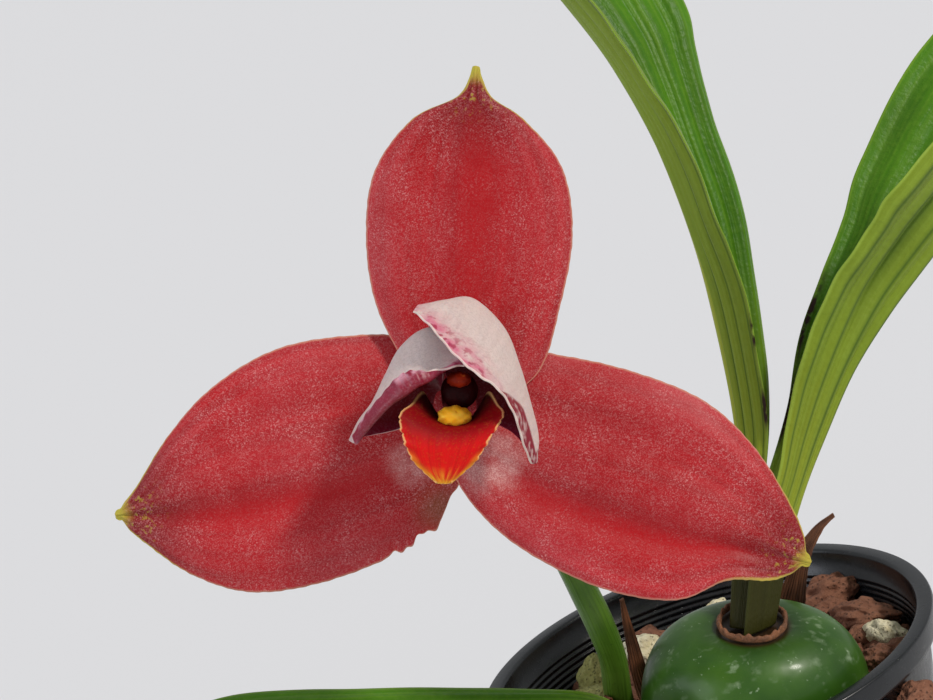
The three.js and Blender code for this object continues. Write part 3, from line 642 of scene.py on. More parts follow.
@dataclass(frozen=True)
class CrystallineSepal(Finish):
    """A fleshy sepal's face: deep red cells whose frosty glitter is painted as pale glints, greener at edge
    and tip.
    """

    name: str = "crystalline_sepal"
    roughness: float = 0.46
    ior: float = 1.4
    specular: float = 0.25
    subsurface: float = 0.08
    body: str = "A60A12"
    rose: str = "B63840"
    deep: str = "64040A"
    # Pale colour of the painted glints that stand for the frosty cells catching light.
    frost_glint: str = "E6A2A0"
    # Cream of the pale base patch, and of the painted sparkle on it.
    cream: str = "F0D2CA"
    margin: str = "C98F78"
    tip: str = "B3A83C"
    # Greenish-brown of the base patch, partly its own tint and partly painted shade under the lip.
    shade: str = "6B5234"
    sparkle: float = 1.0

    def paint(self, on: Paint) -> None:
        """Rose haze, dark streaks, deeper red near the tip that is partly painted shade, pale base, a
        greenish base patch that is partly painted shade, frosty cells painted as glints, thin margin and
        green tip.
        """
        cloud = on.blotch(24, 0.3, 0.75, 6)
        on.layer(self.rose, 0.45, cloud)
        on.layer(self.rose, 0.5, cloud, on.near("edge", 1.0, 11.0))
        on.layer(self.deep, 0.35, on.streak(1.4, 13, 0.4, 0.7))
        on.layer(self.body, 0.7, "valley")
        # Partly painted shade: deeper red towards the tip, where the hooded dorsal tip turns from the
        # light, and partly the tips' own dark red.
        on.layer(self.deep, 0.75, on.near("tip", 4.0, 22.0))
        broken = on.blotch(5, 0.3, 0.72, 8)
        on.layer(self.cream, 0.5, on.near("pale", 0.1, 1.0), broken)
        # Partly painted shade: the greenish-brown patch at the base, where the lip shades the sepal.
        on.layer(self.shade, 0.6, on.near("shade", 0.0, 1.0))
        shown = on.add("MapRange", {"To Min": 1.0, "To Max": 0.3}, {"Value": "valley"})
        coarse = on.speckle(0.23, 0.72, 1.0)
        fine = on.speckle(0.18, 0.4, 1.0)
        # Painted sparkle: pale glints over the pale base patch.
        on.layer(self.cream, 0.75, fine, on.near("pale", 0.1, 1.0), broken)
        # Painted glints: fine and coarse pale specks for light caught by the frosty cells, fewer in the
        # furrow.
        on.layer(self.frost_glint, 0.17 * self.sparkle, fine, shown)
        on.layer(self.frost_glint, 0.42 * self.sparkle, coarse, on.blotch(6, 0.34, 0.62, 4), shown)
        on.layer(self.margin, 0.7, on.near("edge", 0.12, 0.5))
        on.layer(self.tip, 0.9, on.near("tip", 0.8, 4.4))
        on.layer(self.tip, 0.8, on.near("edge", 0.15, 0.6), on.near("tip", 9.0, 22.0))
        on.layer(self.tip, 0.6, on.blotch(0.9, 0.58, 0.68, 2), on.near("tip", 4.0, 12.0))
        on.relief(coarse, 0.05)


@dataclass(frozen=True)
class WhitePetal(Finish):
    """The outside of a petal: chalky white, finely grained, blushed magenta by its free edge."""

    name: str = "white_petal"
    roughness: float = 0.55
    subsurface: float = 0.15
    specular: float = 0.3
    body: str = "D2C0BA"
    grain: str = "AE9894"
    inner: str = "7E0C26"
    blush: str = "C9627F"
    blotches: str = "9A1840"
    edging: str = "EBDDD0"

    def paint(self, on: Paint) -> None:
        """Fine grain, a blushed band along the free edge with magenta blotches in it."""
        fine = on.speckle(0.3, 0.45, 1.0)
        on.layer(self.grain, 0.35, fine)
        on.layer(self.grain, 0.25, on.streak(3, 24, 0.45, 0.7))
        on.layer(self.blush, 1.0, "rosy", on.blotch(3.0, 0.25, 0.6))
        on.layer(self.blotches, 0.85, "rosy", on.blotch(1.6, 0.54, 0.64, 2))
        on.layer(self.inner, 0.97, "turned")
        on.layer(self.body, 0.6, "turned", on.blotch(2.6, 0.52, 0.64, 4))
        on.layer(self.edging, 0.7, on.near("edge", 0.1, 0.35))
        on.relief(fine, 0.05)


@dataclass(frozen=True)
class DarkPetal(Finish):
    """The inside of a petal: waxy dark red, marbled magenta and white by its free edge."""

    name: str = "dark_petal"
    roughness: float = 0.42
    subsurface: float = 0.1
    body: str = "6E0512"
    marble: str = "8E1438"
    white: str = "D2A0AE"

    def paint(self, on: Paint) -> None:
        """Smooth dark red with marbling along the free edge."""
        on.layer(self.marble, 0.75, on.near("edge", 1.5, 7.0))
        on.layer(self.white, 0.85, on.near("edge", 0.6, 3.6), on.blotch(2.6, 0.54, 0.66, 4))
        fine = on.speckle(0.3, 0.6, 1.0)
        on.layer(self.white, 0.1, fine)
        on.layer(self.white, 0.7, on.near("edge", 0.1, 0.35))
        on.relief(fine, 0.04)


@dataclass(frozen=True)
class VelvetLip(Finish):
    """The lip's blade: velvety orange-red, veined, with yellow flames at its frilled edge."""

    name: str = "velvet_lip"
    roughness: float = 0.6
    specular: float = 0.15
    subsurface: float = 0.08
    body: str = "C80A0C"
    glow: str = "E82214"
    deep: str = "7C040C"
    # Near black red of the throat and side lobes: partly their own dark red, partly painted shade under the
    # hood.
    throat: str = "2C0308"
    flame: str = "F4AE2C"
    edging: str = "EBB878"

    def paint(self, on: Paint) -> None:
        """A throat of dark red deepened to near black by painted shade, deep red top, orange-red middle,
        yellow flames and a thin fringe.
        """
        middle = on.near("blade", 0.96, 0.72)
        on.layer(self.deep, 0.9, on.near("blade", 0.62, 0.77))
        on.layer(self.glow, 0.6, middle)
        on.layer(self.deep, 0.3, on.streak(2, 30, 0.42, 0.66))
        # Painted shade: the throat and upright side lobes, which reach back under the hood, darkened to
        # near black.
        on.layer(self.throat, 0.9, on.near("blade", 0.4, 0.56))
        on.layer(self.flame, 1.0, on.streak(2, 9, 0.44, 0.6), on.near("blade", 0.99, 0.85))
        on.layer(self.flame, 0.5, on.near("blade", 1.0, 0.93))
        on.layer(self.flame, 0.6, on.near("edge", 0.3, 2.2), on.near("blade", 0.9, 0.78))
        on.layer(self.edging, 0.75, on.near("edge", 0.05, 0.4))
        sugar = on.speckle(0.3, 0.7, 1.0)
        on.layer(self.flame, 0.04, sugar)
        on.relief(sugar, 0.06)


@dataclass(frozen=True)
class WaxyTissue(Finish):
    """Waxy flower tissue of two close colours, such as a column, an anther or a callus."""

    roughness: float = 0.45
    specular: float = 0.15
    # These defaults are the column's colours: a dark red taken near black, partly painted shade under the
    # hood.
    body: str = "3C0508"
    patches: str = "1E0205"
    patch: float = 3.0
    freckle: str = "4A060C"

    def paint(self, on: Paint) -> None:
        """Soft patches and a few freckles."""
        cloud = on.blotch(self.patch, 0.4, 0.65)
        on.layer(self.patches, 0.7, cloud)
        on.layer(self.freckle, 0.7, on.blotch(0.9, 0.66, 0.74, 2))
        on.relief(cloud, 0.1)


@dataclass(frozen=True)
class StudioPaper(Finish):
    """Matt backdrop paper, plain and pale."""

    name: str = "studio_paper"
    roughness: float = 0.9
    body: str = "D9DADC"


RED_LAVA = BrokenRock(name="red_lava")
PALE_PUMICE = BrokenRock(
    name="pale_pumice", body="CFC39A", light="F0EAD0", dark="8C7E52", pore=0.9, roughness=0.88
)
MOSSY_PUMICE = BrokenRock(
    name="mossy_pumice", body="77753A", light="A6A468", dark="3E3E1C", pore=0.9, roughness=0.9
)
LEAF_UPPER = PlicateLeaf()
LEAF_UNDER = PlicateLeaf(
    name="plicate_leaf_under", body="5A8018", vein="93AE46", groove="3A5616", olive="7E8E28", roughness=0.46
)
SEPAL_FACE = CrystallineSepal()
SEPAL_BACK = CrystallineSepal(
    name="crystalline_sepal_back", body="B24A50", rose="C98078", deep="8E2C38", sparkle=0.5
)
# The column's near black red is partly painted shade under the hood.
COLUMN_WAX = WaxyTissue(name="column_wax")
ANTHER_WAX = WaxyTissue(name="anther_wax", body="A62C10", patches="5A140C", freckle="C85A20")
CALLUS_WAX = WaxyTissue(
    name="callus_wax", body="FFB422", patches="FFC848", freckle="C03A14", patch=2.0, subsurface=0.2
)
GREEN_BRACT = SmoothStem(name="thin_green_bract", body="7E9A3A", pale="A9B45C", dark="5A5A24")
CORKY_ROOT = PaperySheath(name="corky_root", body="9A8A62", pale="B9AC86", dark="5E5236")


# Pot and what fills it


def spin(bm: bmesh.types.BMesh, corners: list[tuple[float, float]], steps: int) -> None:
    """Turn a line round the upright axis, in an empty mesh.

    Args:
        bm: the mesh.
        corners: radius and height of each corner of the line.
        steps: how many faces go round.
    """
    line = [bm.verts.new((r, 0, z)) for r, z in corners]
    edges = [bm.edges.new(pair) for pair in zip(line, line[1:])]
    about = {"axis": (0, 0, 1), "cent": (0, 0, 0), "angle": TURN, "use_merge": True}
    bmesh.ops.spin(bm, geom=line + edges, steps=steps, **about)
    bmesh.ops.remove_doubles(bm, verts=bm.verts, dist=WELD)


@dataclass
class Pot:
    """A round nursery pot: tapered wall, rolled rim, fine steps inside, drainage holes."""

    height: float = 90
    rim_radius: float = 52.5
    neck_radius: float = 50
    base_radius: float = 38
    wall: float = 1.4
    rim_height: float = 5.5
    drain_holes: int = 6
    drain_radius: float = 3.5
    drain_circle: float = 24
    steps_inside: int = 9
    sides: int = 144

    def inside(self, z: float) -> float:
        """Radius of the inner wall at a height."""
        neck = self.height - self.rim_height
        return self.base_radius + (self.neck_radius - self.base_radius) * z / neck - self.wall

    def profile(self) -> list[tuple[float, float]]:
        """Radius and height of each corner, from the middle underneath to the middle inside."""
        neck = self.height - self.rim_height
        lip = [
            (self.rim_radius - 0.45 + 0.45 * math.cos(a), self.height - 0.9 + 0.9 * math.sin(a))
            for a in np.linspace(0, math.pi / 2, 5)
        ]
        roll = self.neck_radius - self.wall
        mouth = [
            (roll + 0.9 - 0.9 * math.sin(a), self.height - 0.9 + 0.9 * math.cos(a))
            for a in np.linspace(0, math.pi / 2, 5)
        ]
        inner = []
        for i in range(self.steps_inside):
            z = neck - 1.5 - i * 1.45
            inner += [(self.inside(z) + 0.16, z + 0.75), (self.inside(z) - 0.16, z + 0.6)]
            inner += [(self.inside(z) - 0.16, z), (self.inside(z) + 0.16, z - 0.15)]
        return [
            (0, 0.6), (self.base_radius - 9, 0.6), (self.base_radius - 8, 0),
            (self.base_radius - 2, 0), (self.base_radius - 0.6, 0.5), (self.base_radius, 2),
            (self.neck_radius, neck), (self.rim_radius - 0.8, neck),
            (self.rim_radius - 0.2, neck + 0.35), (self.rim_radius, neck + 1.2),
            *lip, *mouth, *inner,
            (self.inside(3), 3), (self.inside(3) - 1.5, 2), (0, 2),
        ]

    def build(self) -> None:
        """Spin the wall, drill the base and dress the pot."""
        bm = bmesh.new()
        spin(bm, self.profile(), self.sides)
        bmesh.ops.recalc_face_normals(bm, faces=bm.faces)
        pot = new_object("nursery_pot", bm)
        self.drill(pot)
        keep(pot, Slot.POT, MouldedPolypropylene(), nodes=("pot",))

    def drill(self, pot: bpy.types.Object) -> None:
        """Cut the drainage holes through the base."""
        bm = bmesh.new()
        for i in range(self.drain_holes):
            angle = (i + 0.5) * TURN / self.drain_holes
            spot = Vector((self.drain_circle * math.cos(angle), self.drain_circle * math.sin(angle), 0))
            bmesh.ops.create_cone(
                bm,
                cap_ends=True,
                segments=24,
                radius1=self.drain_radius,
                radius2=self.drain_radius,
                depth=8,
                matrix=Matrix.Translation(spot),
            )
        drills = new_object("drills", bm)
        cut = pot.modifiers.new("drain", "BOOLEAN")
        cut.operation = "DIFFERENCE"
        cut.solver = "EXACT"
        cut.object = drills
        bpy.context.view_layer.update()
        cut_mesh = bpy.data.meshes.new_from_object(pot.evaluated_get(bpy.context.evaluated_depsgraph_get()))
        pot.modifiers.clear()
        pot.data = cut_mesh
        bpy.data.objects.remove(drills)


@dataclass
class Rock:
    """One broken stone: flat facets, a rough skin and pits.

    Args:
        at: its middle.
        size: its mean radius.
        seed: which stone it is.
        stretch: how its three sizes compare.
        facets: how many flat breaks it has.
        rough: depth of its skin, as a share of its size.
        detail: how finely it is modelled.
    """

    at: tuple[float, float, float]
    size: float
    seed: int
    stretch: tuple[float, float, float] = (1, 1, 0.8)
    facets: int = 13
    rough: float = 0.12
    detail: int = 3

    def put(self, bm: bmesh.types.BMesh) -> None:
        """Add the stone to a mesh."""
        random = np.random.default_rng(self.seed)
        ways = unit(random.normal(size=(self.facets, 3)))
        depth = random.uniform(0.78, 1.08, self.facets)
        swing = random.uniform(0, TURN)
        turn = Matrix.Rotation(swing, 3, "Z") @ Matrix.Rotation(random.uniform(-0.5, 0.5), 3, "X")
        shape = bmesh.ops.create_icosphere(bm, subdivisions=self.detail, radius=1)
        verts = shape["verts"]
        dirs = unit(np.array([vertex.co for vertex in verts]))
        facing = np.maximum(dirs @ ways.T, 1e-3)
        reach = np.minimum((depth / facing).min(axis=1), 1.25)
        skin = grain(dirs, 0.42, self.seed) + 0.6 * grain(dirs, 0.2, self.seed + 1)
        pits = np.minimum(0, grain(dirs, 0.3, self.seed + 2) + 0.25)
        reach = self.size * reach * (1 + self.rough * (0.6 * skin + pits))
        spots = (dirs * reach[:, None] * np.array(self.stretch)) @ np.array(turn).T + np.array(self.at)
        for vertex, spot in zip(verts, spots):
            vertex.co = spot


@dataclass
class Grit:
    """The growing medium: broken red lava of two grades on a dark bed, with pale pumice."""

    pot: Pot
    bulb_middle: tuple[float, float] = (5.2, -20.8)
    bulb_reach: tuple[float, float] = (25.8, 21.0)
    top: float = 76.5
    coarse: int = 150
    fine: int = 420
    coarse_size: tuple[float, float] = (2.6, 6.2)
    fine_size: tuple[float, float] = (0.9, 2.2)
    clearance: float = 0.4
    sides: int = 96
    slabs: tuple = (
        ((32.2, 31, 80.5), 6.4, (1.35, 1, 0.62)),
        ((38.2, 13.5, 80.2), 5.6, (1.5, 0.9, 0.6)),
        ((43, -10.5, 80), 4, (1, 1, 0.75)),
        ((36.6, -11.5, 80.4), 4.2, (0.9, 1.2, 0.85)),
        ((39.5, -33, 78.6), 4.4, (1.2, 1, 0.8)),
        ((22, 36, 79.5), 5.6, (1.2, 1, 0.7)),
    )
    pumice: tuple = (
        ((35, -26.4, 80), 3.3, (1, 0.95, 0.85)),
        ((40.4, 1, 79.8), 4.6, (1.15, 0.8, 0.7)),
        ((-25.5, 26, 79.4), 5.6, (0.8, 1, 0.8)),
        ((-27.5, 13.2, 79.6), 4.8, (1, 0.9, 0.8)),
        ((6, 38, 79.6), 5, (1, 0.9, 0.8)),
        ((-13.5, 31.5, 79.8), 4.4, (1.1, 0.9, 0.8)),
    )

    def bed(self, bm: bmesh.types.BMesh) -> None:
        """Spin the body of the bed, which fills the pot below the loose stones."""
        edge = self.pot.inside
        gap = self.clearance
        low = self.pot.wall + gap + 0.4
        corners = [
            (0, low), (edge(3) - 2, low), (edge(4) - gap, 4.5),
            (edge(self.top - 2) - gap, self.top - 2), (32, self.top - 0.8), (0, self.top),
        ]
        spin(bm, corners, self.sides)

    def places(self, count: int, sizes: tuple[float, float], seed: int) -> list[tuple]:
        """Scatter stones over the bed, clear of the wall and of the bulb.

        Args:
            count: how many are tried.
            sizes: smallest and largest mean radius.
            seed: which scatter it is.

        Returns:
            The middle and size of each stone that fits.
        """
        random = np.random.default_rng(seed)
        golden = math.pi * (3 - math.sqrt(5))
        found = []
        for i in range(count):
            size = random.uniform(*sizes)
            radius = math.sqrt((i + 0.5) / count) * (self.pot.inside(self.top + 4) - 0.6 - size)
            angle = i * golden + random.uniform(0, 0.5)
            x, y = radius * math.cos(angle), radius * math.sin(angle)
            bulb = math.hypot(
                (x - self.bulb_middle[0]) / (self.bulb_reach[0] + size * 0.7),
                (y - self.bulb_middle[1]) / (self.bulb_reach[1] + size * 0.7),
            )
            if bulb > 1:
                found.append(((x, y, self.top + random.uniform(-0.5, 0.35) * size), size))
        return found

    def build(self) -> None:
        """Model the bed with its lava, and each piece of pumice."""
        bm = bmesh.new()
        self.bed(bm)
        for i, (at, size) in enumerate(self.places(self.coarse, self.coarse_size, 5)):
            near_lens = at[0] > 5 or at[1] < 0
            Rock(at, size, 100 + i, (1.15, 0.9, 0.75), detail=4 if near_lens else 3).put(bm)
        for i, (at, size, stretch) in enumerate(self.slabs):
            Rock(at, size, 60 + i, stretch, detail=5).put(bm)
        for i, (at, size) in enumerate(self.places(self.fine, self.fine_size, 6)):
            Rock(at, size, 900 + i, (1.1, 0.9, 0.8), 9, 0.1, 2).put(bm)
        bmesh.ops.recalc_face_normals(bm, faces=bm.faces)
        keep(new_object("lava_bed", bm), Slot.LAVA, RED_LAVA, nodes=("growing_medium",))
        for i, (at, size, stretch) in enumerate(self.pumice):
            bm = bmesh.new()
            Rock(at, size, 40 + i, stretch, 10, 0.08, 5).put(bm)
            stone = new_object(f"pumice_{i + 1}", bm)
            finish = MOSSY_PUMICE if at[0] < -20 else PALE_PUMICE
            keep(stone, Slot.PUMICE, finish, nodes=(f"pumice_stone_{i + 1}",))


# Plant


@dataclass
class Bulb:
    """The pseudobulb, with the brown collar round the leaf bases and the roots below."""

    apex: tuple[float, float, float] = (11.4, -26.4, 103.2)
    axis: tuple[float, float, float] = (0.22, -0.2, 0.955)
    height: float = 46
    half_width: float = 25.2
    half_depth: float = 20.4
    shoulder: float = 25.5
    crown: float = 1.2
    hollow_depth: float = 2
    hollow_reach: float = 9
    collar_radius: float = 7.7
    rhizome: tuple = ((3, -19, 54.6), (-8, -15.5, 54.6), (-21.4, -9.9, 57.3))
    roots: tuple = (
        ((0, -21, 51), (6, -26, 38), (14, -24, 22), (16, -16, 12)),
        ((-6, -20, 52), (-14, -28, 40), (-20, -26, 24), (-14, -20, 12)),
        ((-14, -17, 54), (-26, -6, 44), (-30, 6, 28), (-22, 14, 14)),
        ((-2, -20, 52), (4, -6, 40), (12, 10, 26), (6, 20, 12)),
    )

    def stand(self, points: Array) -> Array:
        """Lean points that are measured from the apex, and put them in place."""
        lean = np.array(Vector((0, 0, 1)).rotation_difference(Vector(self.axis)).to_matrix())
        return points @ lean.T + np.array(self.apex)

    def skin(self, u: Array, v: Array) -> Array:
        """Place the bulb's skin: a broad shoulder, hollow at the top, faintly fluted."""
        rise = -np.cos(math.pi * u)
        level = np.sqrt(np.maximum(0, 1 - rise**2))
        up = rise > 0
        power = np.where(up, 3.0, 2.2)
        belly = self.height - self.shoulder
        radius = self.half_width * level ** (2 / power)
        tall = np.sign(rise) * np.where(up, self.shoulder, belly) * np.abs(rise) ** (2 / power)
        hollow = np.where(up, self.hollow_depth * np.exp(-((radius / self.hollow_reach) ** 2)), 0)
        turn = math.pi * v
        flute = 1 + 0.006 * np.cos(7 * turn + 1) * level + 0.008 * np.cos(3 * turn) * level
        x = radius * flute * np.cos(turn)
        y = radius * flute * np.sin(turn) * self.half_depth / self.half_width
        z = belly + tall + self.crown - hollow - self.height
        return self.stand(np.stack([x, y, z], axis=-1))

    def ring(self, u: Array, v: Array) -> Array:
        """Place the torn brown collar, a flattened ring with a ragged upper edge."""
        turn = math.pi * v
        section = TURN * u
        ragged = 0.5 + 0.5 * np.sin(5 * turn + 1) * np.sin(11 * turn) + 0.3 * np.sin(23 * turn)
        tall = np.where(np.sin(section) > 0, 0.6 + 0.8 * ragged, 0.7)
        wide = 0.5 + 0.1 * np.sin(9 * turn)
        radius = self.collar_radius - 0.5 + wide * np.cos(section) + 0.15 * np.sin(4 * turn)
        z = 1.2 + tall * np.sin(section)
        return self.stand(np.stack([radius * np.cos(turn), radius * np.sin(turn), z], axis=-1))

    def build(self) -> None:
        """Model and dress the bulb, its collar and its roots."""
        crown = {"crown": lambda u, v: np.linalg.norm(self.skin(u, v) - np.array(self.apex), axis=1)}
        bulb = sheet("bulb_skin", self.skin, 120, 160, closed=True, marks=crown)
        keep(bulb, Slot.BULB, WaxyBulbSkin(), nodes=("pseudobulb",))
        paleness = {"tip": lambda u, v: 0 * u + 0.8}
        collar = sheet("torn_collar", self.ring, 16, 150, closed=True, marks=paleness)
        keep(collar, Slot.DRY_SHEATH, PaperySheath(), nodes=("neck_collar",))
        body = Path(list(self.rhizome))
        pieces = [tube(body, lambda u, a: (4.6 - 1.2 * u) * domed(u, 0.12) * (1 + 0.06 * np.sin(40 * u)))]
        for i, points in enumerate(self.roots):
            wavy = lambda u, a, k=i: 1.5 * domed(u, 0.02) * (1 + 0.08 * np.sin(60 * u + k))
            pieces.append(tube(Path(list(points)), wavy))
        roots = [
            sheet(f"root_{i}", piece, 60, 20, closed=True, marks={"tip": lambda u, v: 0 * u + 1})
            for i, piece in enumerate(pieces)
        ]
        keep(joined("rhizome_and_roots", roots), Slot.ROOT, CORKY_ROOT, nodes=("rhizome",))


def joined(name: str, parts: list[bpy.types.Object]) -> bpy.types.Object:
    """Join objects that are one piece of the real thing.

    Args:
        name: the piece's name.
        parts: the objects, which are used up.

    Returns:
        The one object.
    """
    bm = bmesh.new()
    for part in parts:
        bm.from_mesh(part.data)
        bpy.data.objects.remove(part)
    bmesh.ops.scale(bm, vec=(1 / MM, 1 / MM, 1 / MM), verts=bm.verts)
    return new_object(name, bm)


@dataclass
class Blade:
    """A thin piece, modelled as a sheet.

    Args:
        name: the piece's name.
        node: the frame's node that it stands for.
    """

    name: str
    node: str
    detail: ClassVar[tuple[int, int]] = (220, 110)
    thickness: ClassVar[float] = 0.8
    thin: ClassVar[float] = 0.35

    def dress(self, surface: Surface, facing: Array, marks: Marks, slot: Slot, *finishes: Finish) -> None:
        """Model the sheet, thicken it and dress it.

        Args:
            surface: its middle surface, in millimetres.
            facing: the way that its first material's side looks.
            marks: its marks by name, with the distance from its margin under edge.
            slot: the record's material slot.
            finishes: the materials of its face and its back.
        """
        piece = sheet(self.name, surface, *self.detail, facing, marks)
        thicken(piece, self.thickness, self.thin)
        keep(piece, slot, *finishes, nodes=(self.node,))


@dataclass
class Leaf(Blade):
    """A pleated leaf, folded along its keel and waved along its margins.

    Args:
        stations: keel, near margin and far margin at even steps from foot to tip.
        ribs: pleats in each half.
        rib_depth: half the height of a pleat.
        waves: waves along a margin.
        wave_depth: half their height.
        round_keel: how gently the keel turns.
        valley: how deep its near half sinks.
        scorched: places of brown tissue, as (u, v, reach along, reach across).
    """

    stations: tuple
    ribs: int = 4
    rib_depth: float = 0.55
    waves: float = 4
    wave_depth: float = 0.7
    round_keel: float = 0.35
    valley: float = 0
    scorched: tuple = ()
    thickness: ClassVar[float] = 0.5
    detail: ClassVar[tuple[int, int]] = (240, 112)

    def rails(self, u: Array) -> list[Array]:
        """Read the keel and both margins at each place along the leaf."""
        return [along([s[k] for s in self.stations], u) for k in range(3)]

    def folded(self, u: Array, v: Array) -> Array:
        """Place the folded blade without its pleats."""
        keel, near, far = self.rails(u)
        rest = math.sqrt(1 + self.round_keel**2) - self.round_keel
        rise = (np.sqrt(v * v + self.round_keel**2) - self.round_keel) / rest
        opening = (near + far) / 2 - keel
        side = (far - near) / 2
        return keel + opening * rise[:, None] + side * v[:, None]

    def grown(self, u: Array) -> Array:
        """How far the pleats and waves have opened at each place along the leaf."""
        return np.sin(math.pi * np.clip((u - 0.1) / 0.9, 0, 1)) ** 0.7

    def blade(self, u: Array, v: Array) -> Array:
        """Place the pleated blade."""
        s = np.abs(v)
        grown = self.grown(u)
        pleat = np.abs((s * self.ribs) % 1 - 0.5) * 4 - 1
        rounded = np.sin(pleat * math.pi / 2)
        rib = (0.75 * rounded + 0.25 * pleat) * self.rib_depth * grown
        nerves = 0.07 * np.cos(TURN * s * self.ribs * 4) * np.minimum(1, 4 * u)
        calm = np.where(v > 0, 0.35, 1)
        wave = self.wave_depth * calm * grown * s**3 * np.sin(TURN * self.waves * u)
        ripple = 0.18 * calm * grown * s**6 * np.sin(TURN * self.waves * 3.7 * u)
        sunk = self.valley * np.exp(-(((v + 0.55) / 0.2) ** 2)) * smooth(u, 0.3, 0.5) * grown
        out = normals_of(self.folded, u, v, 0.01)
        return self.folded(u, v) + out * (rib + nerves + wave + ripple + sunk)[:, None]

    def half(self, u: Array, v: Array) -> Array:
        """Width of the half of the leaf that each place is on."""
        keel, near, far = self.rails(u)
        return np.where(v < 0, np.linalg.norm(near - keel, axis=1), np.linalg.norm(far - keel, axis=1))

    def groove(self, u: Array, v: Array) -> Array:
        """Painted shade: dark lines in the valleys between the pleats, and the near half's deep valley,
        where its folded flap casts a shadow.
        """
        pleat = np.abs((np.abs(v) * self.ribs) % 1 - 0.5) * 2
        deep = np.exp(-(((v + 0.55) / 0.09) ** 2)) * smooth(u, 0.35, 0.5) * min(1, self.valley)
        share = np.where(v < 0, 1, 0.3) * np.minimum(1, 5 * u)
        return np.maximum(smooth(1 - pleat, 0.74, 1.0) * share, deep)

    def scorch(self, u: Array, v: Array) -> Array:
        """Brown tissue round each scorched place."""
        burnt = 0 * u
        for cu, cv, ru, rv in self.scorched:
            burnt = np.maximum(burnt, np.exp(-(((u - cu) / ru) ** 2) - ((v - cv) / rv) ** 2))
        return 1.6 * burnt

    def build(self) -> None:
        """Model and dress the leaf."""
        keel, near, far = (rail[0] for rail in self.rails(np.array([0.5])))
        opening = (near + far) / 2 - keel
        marks = {
            "edge": lambda u, v: (1 - np.abs(v)) * self.half(u, v),
            "keel": lambda u, v: np.abs(v) * self.half(u, v),
            "across": lambda u, v: v,
            "along": lambda u, v: u,
            "groove": self.groove,
            "scorch": self.scorch,
        }
        self.dress(self.blade, opening, marks, Slot.LEAF, LEAF_UPPER, LEAF_UNDER)


LEAVES = (
    Leaf(
        "tall_leaf_left",
        "leaf_left",
        (
            ((6.9, -26.5, 104.5), (10, -28.1, 103.5), (10, -25.1, 104.1)),
            ((11.6, -23, 116.9), (15.8, -24.8, 116.3), (15.8, -20.6, 116.1)),
            ((18.8, -17.3, 135.1), (24.5, -19.9, 134.9), (25, -14.5, 133.5)),
            ((21.9, -12.6, 147.4), (28.3, -21.1, 149.3), (31.1, -4.6, 148)),
            ((24.1, -5.7, 167.4), (31.5, -16.4, 172.2), (35, 3.9, 166.1)),
            ((24.8, 0.6, 181.9), (29.6, -13.7, 189.2), (37.6, 13.2, 183.5)),
            ((23.9, 7.6, 199.3), (28.2, -10.5, 208.1), (37.6, 22.3, 200.8)),
            ((21.5, 14, 214.8), (24, -9.1, 224.3), (38.7, 29.6, 215.1)),
            ((17.7, 19.8, 228.3), (17.9, -6.2, 239.4), (39.3, 35.8, 225.6)),
            ((8.2, 30.9, 250.4), (6.1, 5, 262.4), (33.8, 49.5, 249)),
            ((-3.9, 39.8, 269.3), (-6.6, 17.9, 280.3), (18.2, 58.8, 269.5)),
            ((-23.3, 48.5, 288.4), (-26.1, 34, 296.7), (-9.7, 63.3, 290.2)),
            ((-45.9, 53.2, 301.7), (-45.3, 51.7, 303.5), (-44.9, 54.9, 300.3)),
        ),
        scorched=((0.16, -0.8, 0.012, 0.2), (0.24, -0.97, 0.02, 0.07), (0.3, -0.98, 0.01, 0.06)),
    ),
    Leaf(
        "tall_leaf_right",
        "leaf_right",
        (
            ((16.2, -26.5, 102.6), (8.8, -31.2, 103.3), (8.8, -22.1, 105.2)),
            ((24.2, -22.4, 117.2), (15.9, -27.6, 119.3), (15.9, -17.6, 119.5)),
            ((30.8, -18.1, 126.5), (25, -23.4, 131.5), (25.8, -10.4, 131)),
            ((39, -14, 135.8), (32.1, -20.2, 144.3), (33.4, -5.4, 141.3)),
            ((48.6, -9.5, 145.9), (40.4, -18.2, 157.1), (40.5, 2.4, 152.6)),
            ((59.4, -4.6, 153.9), (49.6, -15.5, 168.6), (49.6, 9.9, 162.8)),
            ((68.8, -0.3, 159.8), (59.5, -14.8, 176.3), (58, 17, 171.1)),
            ((78.7, 4, 165.7), (68.1, -14.5, 183), (66.4, 24.4, 181)),
            ((97.5, 13.1, 175.8), (87.6, -5.4, 193.1), (87.7, 37.7, 198.2)),
            ((120.8, 21.1, 181.4), (113.4, 5.7, 201.6), (117, 47.6, 208.9)),
            ((147.7, 30, 182.1), (143.4, 18.5, 200.8), (150.8, 54, 207.2)),
            ((168.4, 35.3, 178.7), (167.8, 28.5, 191.4), (175.6, 52.8, 194.8)),
            ((193.3, 39.7, 167.5), (193, 38, 169.1), (194.1, 41.3, 166)),
        ),
        valley=2.6,
        scorched=((0.45, 0.7, 0.05, 0.07), (0.36, 0.97, 0.05, 0.03), (0.24, 0.97, 0.05, 0.03)),
    ),
    Leaf(
        "low_leaf",
        "leaf_low",
        (
            ((-19.6, -35.7, 71), (-22.4, -37.4, 71.4), (-18.8, -32.4, 71.6)),
            ((-21.5, -37.6, 90), (-25.4, -39.3, 91), (-20.3, -33, 92)),
            ((-28, -55, 104), (-34, -65, 106), (-23.5, -48.5, 108)),
            ((-48, -68, 111.5), (-56, -82, 116), (-41, -52, 117.5)),
            ((-75, -72, 119), (-82, -89, 125), (-70, -52.4, 127)),
            ((-100, -73, 123.5), (-106, -88, 129), (-98, -52, 134)),
            ((-125, -71, 122), (-130, -82, 127), (-124, -57, 131)),
            ((-150, -69, 113), (-151, -70.5, 113.6), (-149.6, -67.4, 114.2)),
        ),
        ribs=3,
        rib_depth=0.5,
        waves=3,
        wave_depth=0.8,
        round_keel=0.5,
    ),
)


